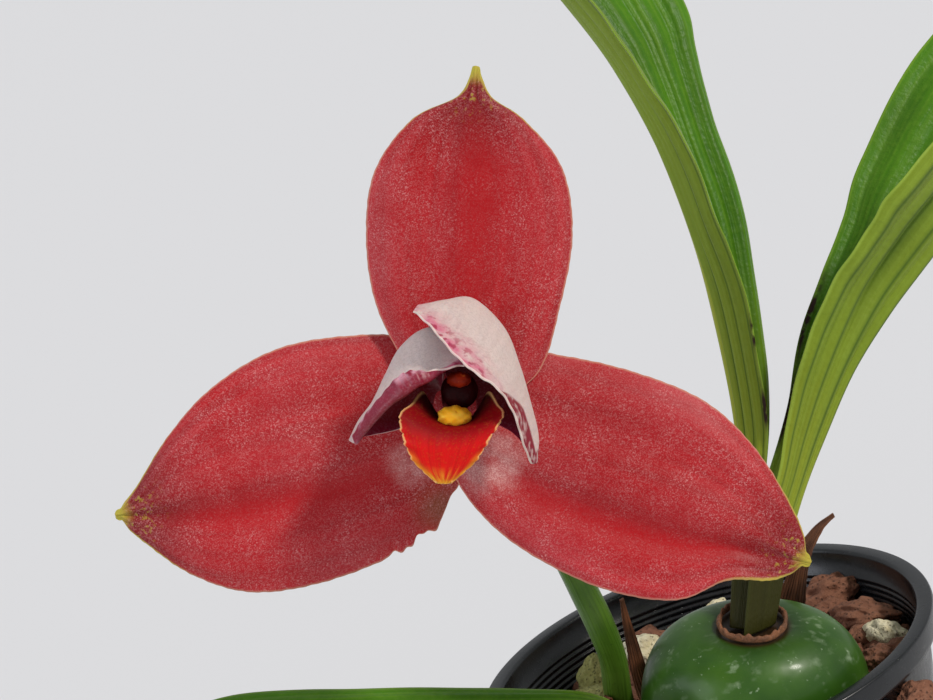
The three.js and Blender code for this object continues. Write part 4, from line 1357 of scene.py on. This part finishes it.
@dataclass
class Sheath(Blade):
    """A dry sheath or bract: a narrow channelled blade along a path.

    Args:
        path: its spine.
        facing: the way its back looks.
        half: half-widths at even steps from foot to tip.
        wrap: half-wraps in degrees at the same steps.
        slot: the record's material slot.
        finish: its material.
        ragged: how deep its sides are torn, as a share of its width.
    """

    path: list
    facing: tuple[float, float, float]
    half: tuple
    wrap: tuple
    slot: Slot = Slot.DRY_SHEATH
    finish: Finish = PaperySheath()
    ragged: float = 0.06
    thickness: ClassVar[float] = 0.45
    detail: ClassVar[tuple[int, int]] = (90, 36)

    def blade(self, u: Array, v: Array) -> Array:
        """Place the channelled blade, fluted and a little torn at its sides."""
        line = Path(self.path)
        tangent = line.tangent(u)
        side = unit(np.cross(tangent, np.array(self.facing, float)))
        out = np.cross(side, tangent)
        half = along(self.half, u)
        wrap = np.radians(along(self.wrap, u))
        torn = 1 - self.ragged * np.abs(v) ** 6 * (1 + np.sin(31 * u + 4 * v) * np.sin(67 * u))
        angle = v * wrap * torn
        radius = half / np.sin(np.minimum(math.pi / 2, wrap))
        flute = 0.12 * np.cos(9 * math.pi * v)
        reach = (radius + flute)[:, None]
        turned = side * np.sin(angle)[:, None] + out * np.cos(angle)[:, None]
        return line.at(u) + reach * turned - radius[:, None] * out

    def edge(self, u: Array, v: Array) -> Array:
        """Millimetres from the nearest margin."""
        return (1 - np.abs(v)) * along(self.half, u) * 1.3

    def build(self) -> None:
        """Model and dress the sheath."""
        marks = {"edge": self.edge, "tip": lambda u, v: 2.5 * u}
        self.dress(self.blade, self.facing, marks, self.slot, self.finish, self.finish)


SCAPE_LINE = [
    (-21.4, -9.8, 61.5), (-21.2, -11.4, 81), (-20.7, -21.2, 94.4), (-19.1, -30, 107),
    (-19.2, -37.6, 118.4), (-20.1, -42.9, 129.1), (-21.6, -46.8, 141.5),
    (-24.4, -49.6, 153.7), (-27.8, -51.3, 163.2), (-31, -52.9, 170.5),
]


def beside(points: list, start: float, end: float, facing: tuple, distance: float) -> list:
    """Find points that run beside a stem.

    Args:
        points: the stem's middle line.
        start: the share of its length where they start.
        end: the share where they end.
        facing: which side they are on.
        distance: how far from the middle.

    Returns:
        Five points.
    """
    shift = unit(np.array(facing, float)) * distance
    return [tuple(point + shift) for point in Path(points).at(np.linspace(start, end, 5))]


@dataclass
class Stem:
    """The flower scape with its sheaths, and the ovary and bract that carry the flower."""

    scape_radius: float = 3
    ovary_radius: float = 3.1
    ovary: tuple = (
        (-31.3, -53, 171.3), (-32.4, -53.3, 175.4), (-32.8, -55.6, 179),
        (-32.4, -59.3, 181.1), (-31.9, -63.1, 181.85),
    )

    def sheaths(self) -> list[Sheath]:
        """List the sheaths and bracts."""
        front = (-0.65, -0.75, -0.25)
        return [
            Sheath(
                "sheath_tongue",
                "sheath_behind_bulb",
                [(16.5, 2.6, 77.2), (19.4, 1.4, 88), (23.1, -1.4, 97.6), (27.4, -2, 105.6),
                 (32.2, 0.4, 109.3), (36.6, 3, 110.4)],
                (0.3, 1, 0.1),
                (5.5, 5, 3.6, 2.4, 1.5, 0.5),
                (35, 35, 40, 40, 35, 30),
            ),
            Sheath(
                "dark_bract",
                "bract_beside_scape",
                [(-13.8, -6.5, 77.6), (-14.8, -9.5, 91), (-14.5, -11.2, 101),
                 (-14.2, -12.6, 107.5), (-13.8, -14, 113)],
                (0.5, -1, 0),
                (2.6, 2.4, 1.9, 1.2, 0.45),
                (60, 60, 60, 50, 40),
            ),
            Sheath(
                "scape_foot_sheath",
                "scape_sheath",
                beside(SCAPE_LINE, 0.15, 0.34, front, self.scape_radius + 1.1),
                front,
                (4, 4, 3.9, 3, 0.8),
                (78, 78, 76, 60, 35),
            ),
            Sheath(
                "flower_bract",
                "floral_bract",
                [(-28.6, -46.8, 163.6), (-31.4, -47.2, 170.2), (-34, -47.4, 177.5),
                 (-36, -48.6, 185), (-37.4, -50.8, 192)],
                (-0.2, 1, 0.3),
                (4.4, 4.9, 4.4, 2.8, 0.6),
                (110, 90, 70, 50, 40),
                Slot.GREEN_BRACT,
                GREEN_BRACT,
            ),
        ]

    def scape_wide(self, u: Array, a: Array) -> Array:
        """Radius of the flower stem."""
        return self.scape_radius * domed(u, 0.012) * (1 + 0.02 * np.cos(5 * a) + 0.02 * np.sin(25 * u))

    def ovary_wide(self, u: Array, a: Array) -> Array:
        """Radius of the grooved ovary."""
        return (self.ovary_radius + 0.7 * u * u) * domed(u, 0.08) * (1 + 0.05 * np.cos(6 * a))

    def build(self) -> None:
        """Model and dress the stems and sheaths."""
        for name, node, line, wide, detail in (
            ("round_scape", "scape", SCAPE_LINE, self.scape_wide, (150, 40)),
            ("grooved_ovary", "ovary", list(self.ovary), self.ovary_wide, (60, 60)),
        ):
            stem = sheet(name, tube(Path(line), wide), *detail, closed=True)
            keep(stem, Slot.STEM, SmoothStem(), nodes=(node,))
        for sheath in self.sheaths():
            sheath.build()


# Flower


@dataclass
class Bloom:
    """Where the flower is, and how it is turned from facing straight up.

    In its own plane x is to the right, y up and z towards the viewer.
    """

    centre: tuple[float, float, float] = (-31.3, -68.6, 183.3)
    tilt: float = 74
    turn: float = 3
    lean: float = -18.3

    def axes(self) -> Array:
        """The flower's own axes as the columns of a matrix."""
        turned = Matrix.Rotation(math.radians(self.turn), 3, "Z")
        tilted = Matrix.Rotation(math.radians(self.tilt), 3, "X")
        leaned = Matrix.Rotation(math.radians(self.lean), 3, "Z")
        return np.array(turned @ tilted @ leaned)

    def place(self, points: Array) -> Array:
        """Turn points of the flower's own plane into the plant's."""
        return points @ self.axes().T + np.array(self.centre)

    def put(self, surface: Surface) -> Surface:
        """Turn a surface of the flower's own plane into the plant's."""
        return lambda u, v: self.place(surface(u, v))

    def front(self) -> Array:
        """The way the flower faces."""
        return self.axes()[:, 2]


@dataclass
class Sepal(Blade):
    """One fleshy sepal, drawn as a middle line with its two margins, base to tip.

    Args:
        mid: middle line in the flower's plane.
        left: the margin on the side of negative v.
        right: the other margin.
        depth: how far forward the middle line lies.
        cup: how far its margins lie back.
        pale: middle and reach of the pale patch at its base.
        shade: middle and reach of the greenish patch at its base, partly its own tint and partly painted
            shade under the lip.
        valley: place across and width of its furrow, and its depth.
        curl: how far the positive margin turns forward, and between which places.
        torn: how deep its negative margin is torn near the base.
        pinch: how far it narrows below its tip.
    """

    mid: tuple
    left: tuple
    right: tuple
    depth: tuple
    cup: float
    pale: tuple = (0, -200, 1)
    shade: tuple = (0, -200, 1)
    valley: tuple = (0.0, 0.2, 0.5)
    curl: tuple = (0.0, 0.4, 0.9)
    torn: float = 0.0
    pinch: float = 0.35
    thickness: ClassVar[float] = 1.0
    thin: ClassVar[float] = 0.4
    detail: ClassVar[tuple[int, int]] = (260, 150)

    def spread(self, u: Array, v: Array) -> tuple[Array, Array]:
        """Read the middle line, and the way from it to the margin on each place's side."""
        mid = along(self.mid, u)
        return mid, np.where((v < 0)[:, None], along(self.left, u), along(self.right, u)) - mid

    def outline(self, u: Array, v: Array) -> Array:
        """Place the flat outline, with its torn margin."""
        s = np.abs(v)
        mid, reach = self.spread(u, v)
        steps = 0.5 + 0.5 * np.tanh(1.8 * np.sin(71 * u)) + 0.2 * np.sin(190 * u)
        bite = self.torn * smooth(u, 0.05, 0.1) * (1 - smooth(u, 0.24, 0.3)) * steps * s**8 * (v < 0)
        fray = (0.003 + 0.01 * smooth(u, 0.6, 0.9)) * s**12 * np.sin(190 * u) * np.sin(67 * u)
        neck = self.pinch * np.exp(-(((u - 0.955) / 0.02) ** 2))
        return mid + reach * (s * (1 - bite + fray - neck))[:, None]

    def local(self, u: Array, v: Array) -> Array:
        """Place the sepal in the flower's plane."""
        s = np.abs(v)
        swell = np.maximum(0, np.sin(math.pi * u)) ** 1.4
        flat = self.outline(u, v)
        z = along(self.depth, u) - self.cup * swell * s * s + 0.5 * swell * np.cos(s * 9)
        place, width, deep = self.valley
        z -= deep * swell * np.exp(-(((v - place) / width) ** 2))
        near_tip = smooth(u, 0.7, 0.95)
        z += 0.35 * near_tip * np.cos(v * 14) * (1 - s)
        amount, start, end = self.curl
        turned = smooth(u, start, start + 0.15) * (1 - smooth(u, end - 0.1, end))
        z += amount * turned * smooth(v, 0.72, 1.0)
        z += 0.35 * swell * s**4 * np.sin(19 * u + 2 * v) + 0.12 * swell * np.sin(47 * u + 5 * v) * s**8
        return np.column_stack([flat, z])

    def spot(self, patch: tuple) -> Surface:
        """Make a mark that is 0 in the middle of a round patch and 1 at its rim."""
        x, y, reach = patch

        def mark(u: Array, v: Array) -> Array:
            """Distance from the patch's middle as a share of its reach."""
            flat = self.outline(u, v)
            return np.hypot(flat[:, 0] - x, flat[:, 1] - y) / reach

        return mark

    def edge(self, u: Array, v: Array) -> Array:
        """Millimetres from the nearest margin."""
        return (1 - np.abs(v)) * np.linalg.norm(self.spread(u, v)[1], axis=1)

    def tip(self, u: Array, v: Array) -> Array:
        """Millimetres from the tip."""
        return np.linalg.norm(self.outline(u, v) - np.array(self.mid[-1]), axis=1)

    def furrow(self, u: Array, v: Array) -> Array:
        """How deep in the furrow each place lies."""
        place, width, _ = self.valley
        return np.exp(-(((v - place) / width) ** 2)) * np.sin(math.pi * u)

    def build(self, bloom: Bloom) -> None:
        """Model and dress the sepal."""
        marks = {
            "edge": self.edge,
            "tip": self.tip,
            "pale": self.spot(self.pale),
            "shade": self.spot(self.shade),
            "valley": self.furrow,
        }
        self.dress(bloom.put(self.local), bloom.front(), marks, Slot.SEPAL, SEPAL_FACE, SEPAL_BACK)


SEPALS = (
    Sepal(
        "sepal_dorsal",
        "dorsal_sepal",
        ((0, -2), (0.2, 6), (1, 18), (1.8, 32), (2.3, 44), (2.7, 54), (3.1, 59), (3.8, 64.8)),
        ((-5, -1), (-10, 8), (-15.6, 20), (-17.3, 33), (-15.6, 45), (-8.5, 54.6), (0.6, 59.1), (3.3, 64.7)),
        ((5, -1), (15.6, 6), (20, 19), (22.4, 33), (20.4, 45.5), (13.2, 54.4), (6.6, 59), (4.4, 64.6)),
        (-0.6, 0, 0.8, 1.6, 2.8, 4, 4.2, 3),
        3,
        valley=(0.1, 0.3, 0.5),
        pinch=0.1,
    ),
    Sepal(
        "sepal_lateral_left",
        "sepal_left",
        ((2, -2), (-8, -5), (-20, -8.5), (-33, -11), (-45, -14), (-54, -16.5), (-61, -19.5), (-66, -21.3)),
        ((4, -6), (-3, -23), (-13, -29.6), (-27, -34.6), (-40, -36.1),
         (-51, -32.8), (-60, -26.8), (-65.8, -22)),
        ((1, 3), (-9, 12.4), (-21, 13.3), (-35, 10.6), (-47, 3.4),
         (-55.5, -6), (-62, -16.2), (-65.8, -20.7)),
        (-4.1, -4.2, -2.4, -0.4, 0, -1, -3, -4.5),
        2.6,
        pale=(-9, -11.5, 6),
        shade=(-3, -20, 8),
        valley=(-0.3, 0.14, 1.0),
        torn=0.07,
    ),
    Sepal(
        "sepal_lateral_right",
        "sepal_right",
        ((-2, -2), (7, -6), (19, -10.5), (32, -14.5), (45, -19), (55, -23.5), (62.5, -27.5), (68.5, -30.4)),
        ((-1, 3), (9, 10.5), (21, 9.4), (35, 6.1), (48, 0.6), (57.5, -8.3), (65.4, -21), (68.3, -29.7)),
        ((-4, -7), (3, -19), (13, -28), (28, -35.2), (42, -37.4), (52, -33.6), (61, -33.6), (68.2, -31.1)),
        (-2.6, -2.2, -1.2, 0.4, 1, 0.4, -1.2, -3),
        2.6,
        pale=(7, -11, 9),
        shade=(1, -6, 4),
        valley=(0.42, 0.2, 1.4),
        curl=(2.4, 0.3, 0.92),
    ),
)


@dataclass
class Petal(Blade):
    """One petal of the hood, as a net of curves from the claw over its back to the free margin.

    Args:
        net: the curves, each a row of points in the flower's own axes.
        outward: a direction that its white side faces.
        rosy: where along its free margin the blush starts and ends, and how wide it is.
        turned: how wide the dark inside shows along the lower part of its free margin.
    """

    net: tuple
    outward: tuple[float, float, float]
    rosy: tuple[float, float, float]
    turned: float = 0.0
    thickness: ClassVar[float] = 0.7
    thin: ClassVar[float] = 0.45
    detail: ClassVar[tuple[int, int]] = (130, 130)

    def local(self, u: Array, v: Array) -> Array:
        """Place the petal, a little wavy at its free margin."""
        point = across(self.net, u, (v + 1) / 2)
        free = smooth(u, 0.7, 1.0)
        point[:, 2] += 0.22 * free * np.sin(15 * v + 1) + 0.1 * free * np.sin(41 * v)
        point[:, 1] += 0.12 * free * np.sin(33 * v)
        return point

    def edge(self, u: Array, v: Array) -> Array:
        """Millimetres from the free margin, or from either side."""
        claw, free = (across(self.net, 0 * u + end, (v + 1) / 2) for end in (0, 1))
        span = np.linalg.norm(free - claw, axis=1)
        return np.minimum((1 - u) * span, 2.0 + (1 - np.abs(v)) * 14)

    def blush(self, u: Array, v: Array) -> Array:
        """How far the magenta of the free margin has spread."""
        start, end, wide = self.rosy
        along_margin = smooth(v, start - 0.15, start) * (1 - smooth(v, end, end + 0.2))
        return (0.25 + 0.75 * along_margin) * (1 - smooth(self.edge(u, v), 0.3, wide))

    def rolled(self, u: Array, v: Array) -> Array:
        """Where the margin is rolled so that its dark inside shows."""
        wide = self.turned * smooth(v, 0.1, 0.45) + 0.01
        return smooth(v, 0.1, 0.2) * (1 - smooth(self.edge(u, v) / wide, 0.85, 1.0))

    def build(self, bloom: Bloom) -> None:
        """Model and dress the petal."""
        marks = {"edge": self.edge, "rosy": self.blush, "turned": self.rolled}
        facing = bloom.axes() @ np.array(self.outward)
        self.dress(bloom.put(self.local), facing, marks, Slot.PETAL, WhitePetal(), DarkPetal())


PETALS = (
    Petal(
        "hood_petal_right",
        "petal_right",
        (
            ((-1.6, 4.6, 2.4), (-4.6, 13.6, 6), (-6.4, 18.5, 16), (-7.8, 17.8, 22)),
            ((-1, 4.8, 2.4), (-2.4, 15, 5.4), (-1.8, 19.7, 14.5), (-4.6, 14.9, 26.5)),
            ((0.4, 4.8, 2.4), (1.4, 15.4, 5), (3.2, 19.8, 13), (-0.6, 10.2, 30.6)),
            ((1.8, 4.4, 2.4), (5.8, 13, 4.8), (8.9, 14.2, 12.6), (3.4, 6.6, 33.6)),
            ((3.2, 3, 2.4), (8.8, 7.6, 4.8), (11.8, 7.3, 13), (7.8, 3.4, 32)),
            ((3.9, 1, 2.4), (10.8, 2.4, 5), (13.7, 0.8, 14), (10.6, -1, 30)),
            ((4, -0.8, 2.4), (11.6, -2, 5.8), (15.1, -5.2, 15), (12.4, -6.6, 26.4)),
            ((3.8, -2, 2.4), (10.6, -5, 6.6), (14.7, -9.6, 17), (14, -10.5, 21.6)),
        ),
        (1, 0.8, 0.3),
        (-1, -0.15, 5),
        4.6,
    ),
    Petal(
        "hood_petal_left",
        "petal_left",
        (
            ((-2.4, 3.2, 1.1), (-2, 8.3, 8), (0.6, 14.2, 15.4), (2.4, 11.4, 21.2), (1.6, 7.8, 26.6)),
            ((-3.2, 3, 1.1), (-5, 9.6, 6.2), (-5.6, 14.3, 14.4), (-4.2, 5.9, 25.6), (-4.6, 6.8, 27)),
            ((-3.9, 2.4, 1.1), (-8.4, 8.2, 5), (-10.2, 10.8, 12.6), (-6.9, 4.2, 27), (-8.2, 6.9, 27.4)),
            ((-4.3, 1.4, 1.1), (-10, 4.8, 5), (-13, 5.8, 12.6), (-9, 2.6, 27.4), (-10.9, 5.4, 26.8)),
            ((-4.5, 0.4, 1.1), (-11.4, 1.6, 5.2), (-15.4, 0.8, 13.4), (-12, 0.6, 26.4), (-13.6, 2.2, 25.2)),
            ((-4.5, -0.8, 1.1), (-12, -1.8, 5.6), (-17.8, -2.6, 14.6),
             (-15.4, -3, 24.6), (-16.6, -1.4, 23)),
            ((-4.3, -2, 1.1), (-11.4, -4.6, 6.4), (-19.2, -6, 16),
             (-18.4, -6.6, 21.6), (-18.9, -5.2, 20.2)),
        ),
        (-1, 0.8, 0.3),
        (-1, -0.55, 6),
    ),
)


@dataclass
class Heart:
    """The flower's middle: lip with its callus, column and anther cap."""

    line: tuple = (
        (0, -3.4, 4), (0, -5.2, 9), (0, -4.6, 14.5), (0, -3.7, 19.5), (-0.2, -3.5, 23.8),
        (-0.7, -4.6, 27), (-1.6, -7.6, 28.4), (-2, -10.9, 28), (-2.1, -13.7, 26.6),
    )
    half: tuple = (2.4, 3.8, 5.2, 6.4, 8, 9.5, 8, 5.6, 1.4)
    lobe_rise: tuple = (1, 3.4, 6, 6.6, 4.2, 3.4, 2.4, 1.2, 0.2)
    column: tuple = ((0, 1, 3.4), (0.1, 1.8, 8.6), (0.4, 2.7, 14), (0.8, 3.2, 20))
    column_radius: float = 3
    column_flare: float = 0.28
    callus_at: tuple[float, float, float] = (-0.15, -1.6, 23.4)
    callus_size: tuple[float, float, float] = (3.2, 2, 2.7)
    anther_at: tuple[float, float, float] = (0.6, 5.2, 22.1)
    anther_size: tuple[float, float, float] = (2.3, 1.5, 1.6)

    def lip(self, u: Array, v: Array) -> Array:
        """Place the lip: upright side lobes, then a hanging shield with a torn fringe."""
        point = along(self.line, u)
        s = np.abs(v)
        hanging = smooth(u, 0.5, 0.8)
        teeth = np.sin(170 * u) + 0.7 * np.sin(263 * u + 2) + 0.5 * np.sin(91 * u)
        fringe = 1 + 0.018 * hanging * s**8 * teeth
        point[:, 0] += v * along(self.half, u) * fringe
        rise = along(self.lobe_rise, u) * s * s
        point[:, 1] += rise + 0.12 * hanging * np.sin(41 * v) * smooth(u, 0.9, 1)
        frill = 0.35 * s**4 * np.sin(26 * u) + 0.25 * s**6 * np.sin(83 * u)
        groove = -0.3 * np.exp(-((v / 0.07) ** 2))
        ridges = 0.1 * np.cos(v * 22) * (1 - s)
        point[:, 2] += hanging * (frill + groove + ridges)
        return point

    def lip_edge(self, u: Array, v: Array) -> Array:
        """Millimetres from the lip's margin."""
        return np.minimum((1 - np.abs(v)) * along(self.half, u), (1 - u) * 36)

    def column_wide(self, u: Array, a: Array) -> Array:
        """Radius of the column, which flares towards its tip."""
        return self.column_radius * (1 - self.column_flare / 4 + self.column_flare * u * u) * domed(u, 0.1)

    def egg(self, at: tuple, size: tuple, lumps: float) -> Surface:
        """Make a lumpy egg-shaped surface.

        Args:
            at: its middle.
            size: its three half-sizes.
            lumps: how uneven it is.

        Returns:
            The surface in the flower's own axes.
        """

        def surface(u: Array, v: Array) -> Array:
            """Place each point of the egg."""
            high, round_it = math.pi * u, math.pi * v
            wide = np.sin(high)
            way = np.column_stack([wide * np.cos(round_it), wide * np.sin(round_it), np.cos(high)])
            swell = 1 + lumps * np.sin(3 * way[:, 0] * 3 + 1) * np.cos(way[:, 1] * 7) * wide
            return way * swell[:, None] * np.array(size) + np.array(at)

        return surface

    def build(self, bloom: Bloom) -> None:
        """Model and dress the flower's middle."""
        marks = {"edge": self.lip_edge, "blade": lambda u, v: u}
        lip = Blade("fringed_lip", "lip")
        lip.dress(bloom.put(self.lip), bloom.front(), marks, Slot.LIP, VelvetLip(), VelvetLip())
        callus = self.egg(self.callus_at, self.callus_size, 0.07)
        column = tube(Path(list(self.column)), self.column_wide)
        anther = self.egg(self.anther_at, self.anther_size, 0.05)
        for name, surface, detail, slot, finish, nodes in (
            ("lip_callus", callus, (40, 60), Slot.LIP, CALLUS_WAX, ()),
            ("arched_column", column, (60, 40), Slot.COLUMN, COLUMN_WAX, ("column",)),
            ("anther", anther, (40, 50), Slot.ANTHER, ANTHER_WAX, ("anther_cap",)),
        ):
            keep(sheet(name, bloom.put(surface), *detail, closed=True), slot, finish, nodes=nodes)


# Studio


@dataclass
class Studio:
    """The camera, a pale floor and soft lights. Sizes are in metres."""

    lens: float = 105
    sensor: float = 36
    eye: tuple[float, float, float] = (0, -0.56777, 0.33657)
    right: tuple[float, float, float] = (0.95264819, -0.03694895, -0.30182147)
    up: tuple[float, float, float] = (0.29991441, 0.27780633, 0.91261985)
    back: tuple[float, float, float] = (0.05012757, -0.95992626, 0.27573322)
    floor_half: float = 4.0
    suns: tuple = (((0.654, -0.412, 0.623), 9.0, 2.15, "FFF8F0"), ((-0.8, -0.5, 0.5), 40.0, 1.15, "EEF3FF"))
    room: str = "E9EBEE"
    room_strength: float = 0.56

    def camera(self) -> None:
        """Stand the camera at the photograph's viewing angle."""
        data = bpy.data.cameras.new("studio_camera")
        data.lens = self.lens
        data.sensor_width = self.sensor
        data.clip_end = 50
        camera = bpy.data.objects.new("studio_camera", data)
        camera.matrix_world = Matrix(
            [[*axes, 0] for axes in (self.right, self.up, self.back)] + [[*self.eye, 1]]
        ).transposed()
        bpy.context.scene.collection.objects.link(camera)
        bpy.context.scene.camera = camera

    def light(self) -> None:
        """Let soft light fall from the upper right, and a little from the left, in a pale room."""
        for i, (towards, spread, strength, colour) in enumerate(self.suns):
            data = bpy.data.lights.new(f"soft_light_{i + 1}", "SUN")
            data.angle = math.radians(spread)
            data.energy = strength
            data.color = linear(colour)[:3]
            lamp = bpy.data.objects.new(data.name, data)
            lamp.rotation_euler = Vector(towards).to_track_quat("Z", "Y").to_euler()
            bpy.context.scene.collection.objects.link(lamp)
        world = bpy.data.worlds.new("pale_room")
        world.use_nodes = True
        sky = world.node_tree.nodes["Background"]
        sky.inputs["Color"].default_value = linear(self.room)
        sky.inputs["Strength"].default_value = self.room_strength
        bpy.context.scene.world = world

    def floor(self) -> None:
        """Lay the floor that the pot stands on."""
        bm = bmesh.new()
        half = self.floor_half / MM
        bmesh.ops.create_grid(bm, x_segments=4, y_segments=4, size=half)
        floor = new_object("pale_floor", bm)
        floor.data.materials.append(StudioPaper().material())

    def build(self) -> None:
        """Set the studio up."""
        self.camera()
        self.light()
        self.floor()
        bpy.context.scene.view_settings.view_transform = "Standard"


def main() -> None:
    """Build the studio, the pot and the plant."""
    logging.basicConfig(level=logging.INFO, format="%(name)s %(message)s")
    Studio().build()
    pot = Pot()
    pot.build()
    Grit(pot).build()
    Bulb().build()
    for leaf in LEAVES:
        leaf.build()
    Stem().build()
    bloom = Bloom()
    for sepal in SEPALS:
        sepal.build(bloom)
    for petal in PETALS:
        petal.build(bloom)
    Heart().build(bloom)


if __name__ == "__main__":
    main()
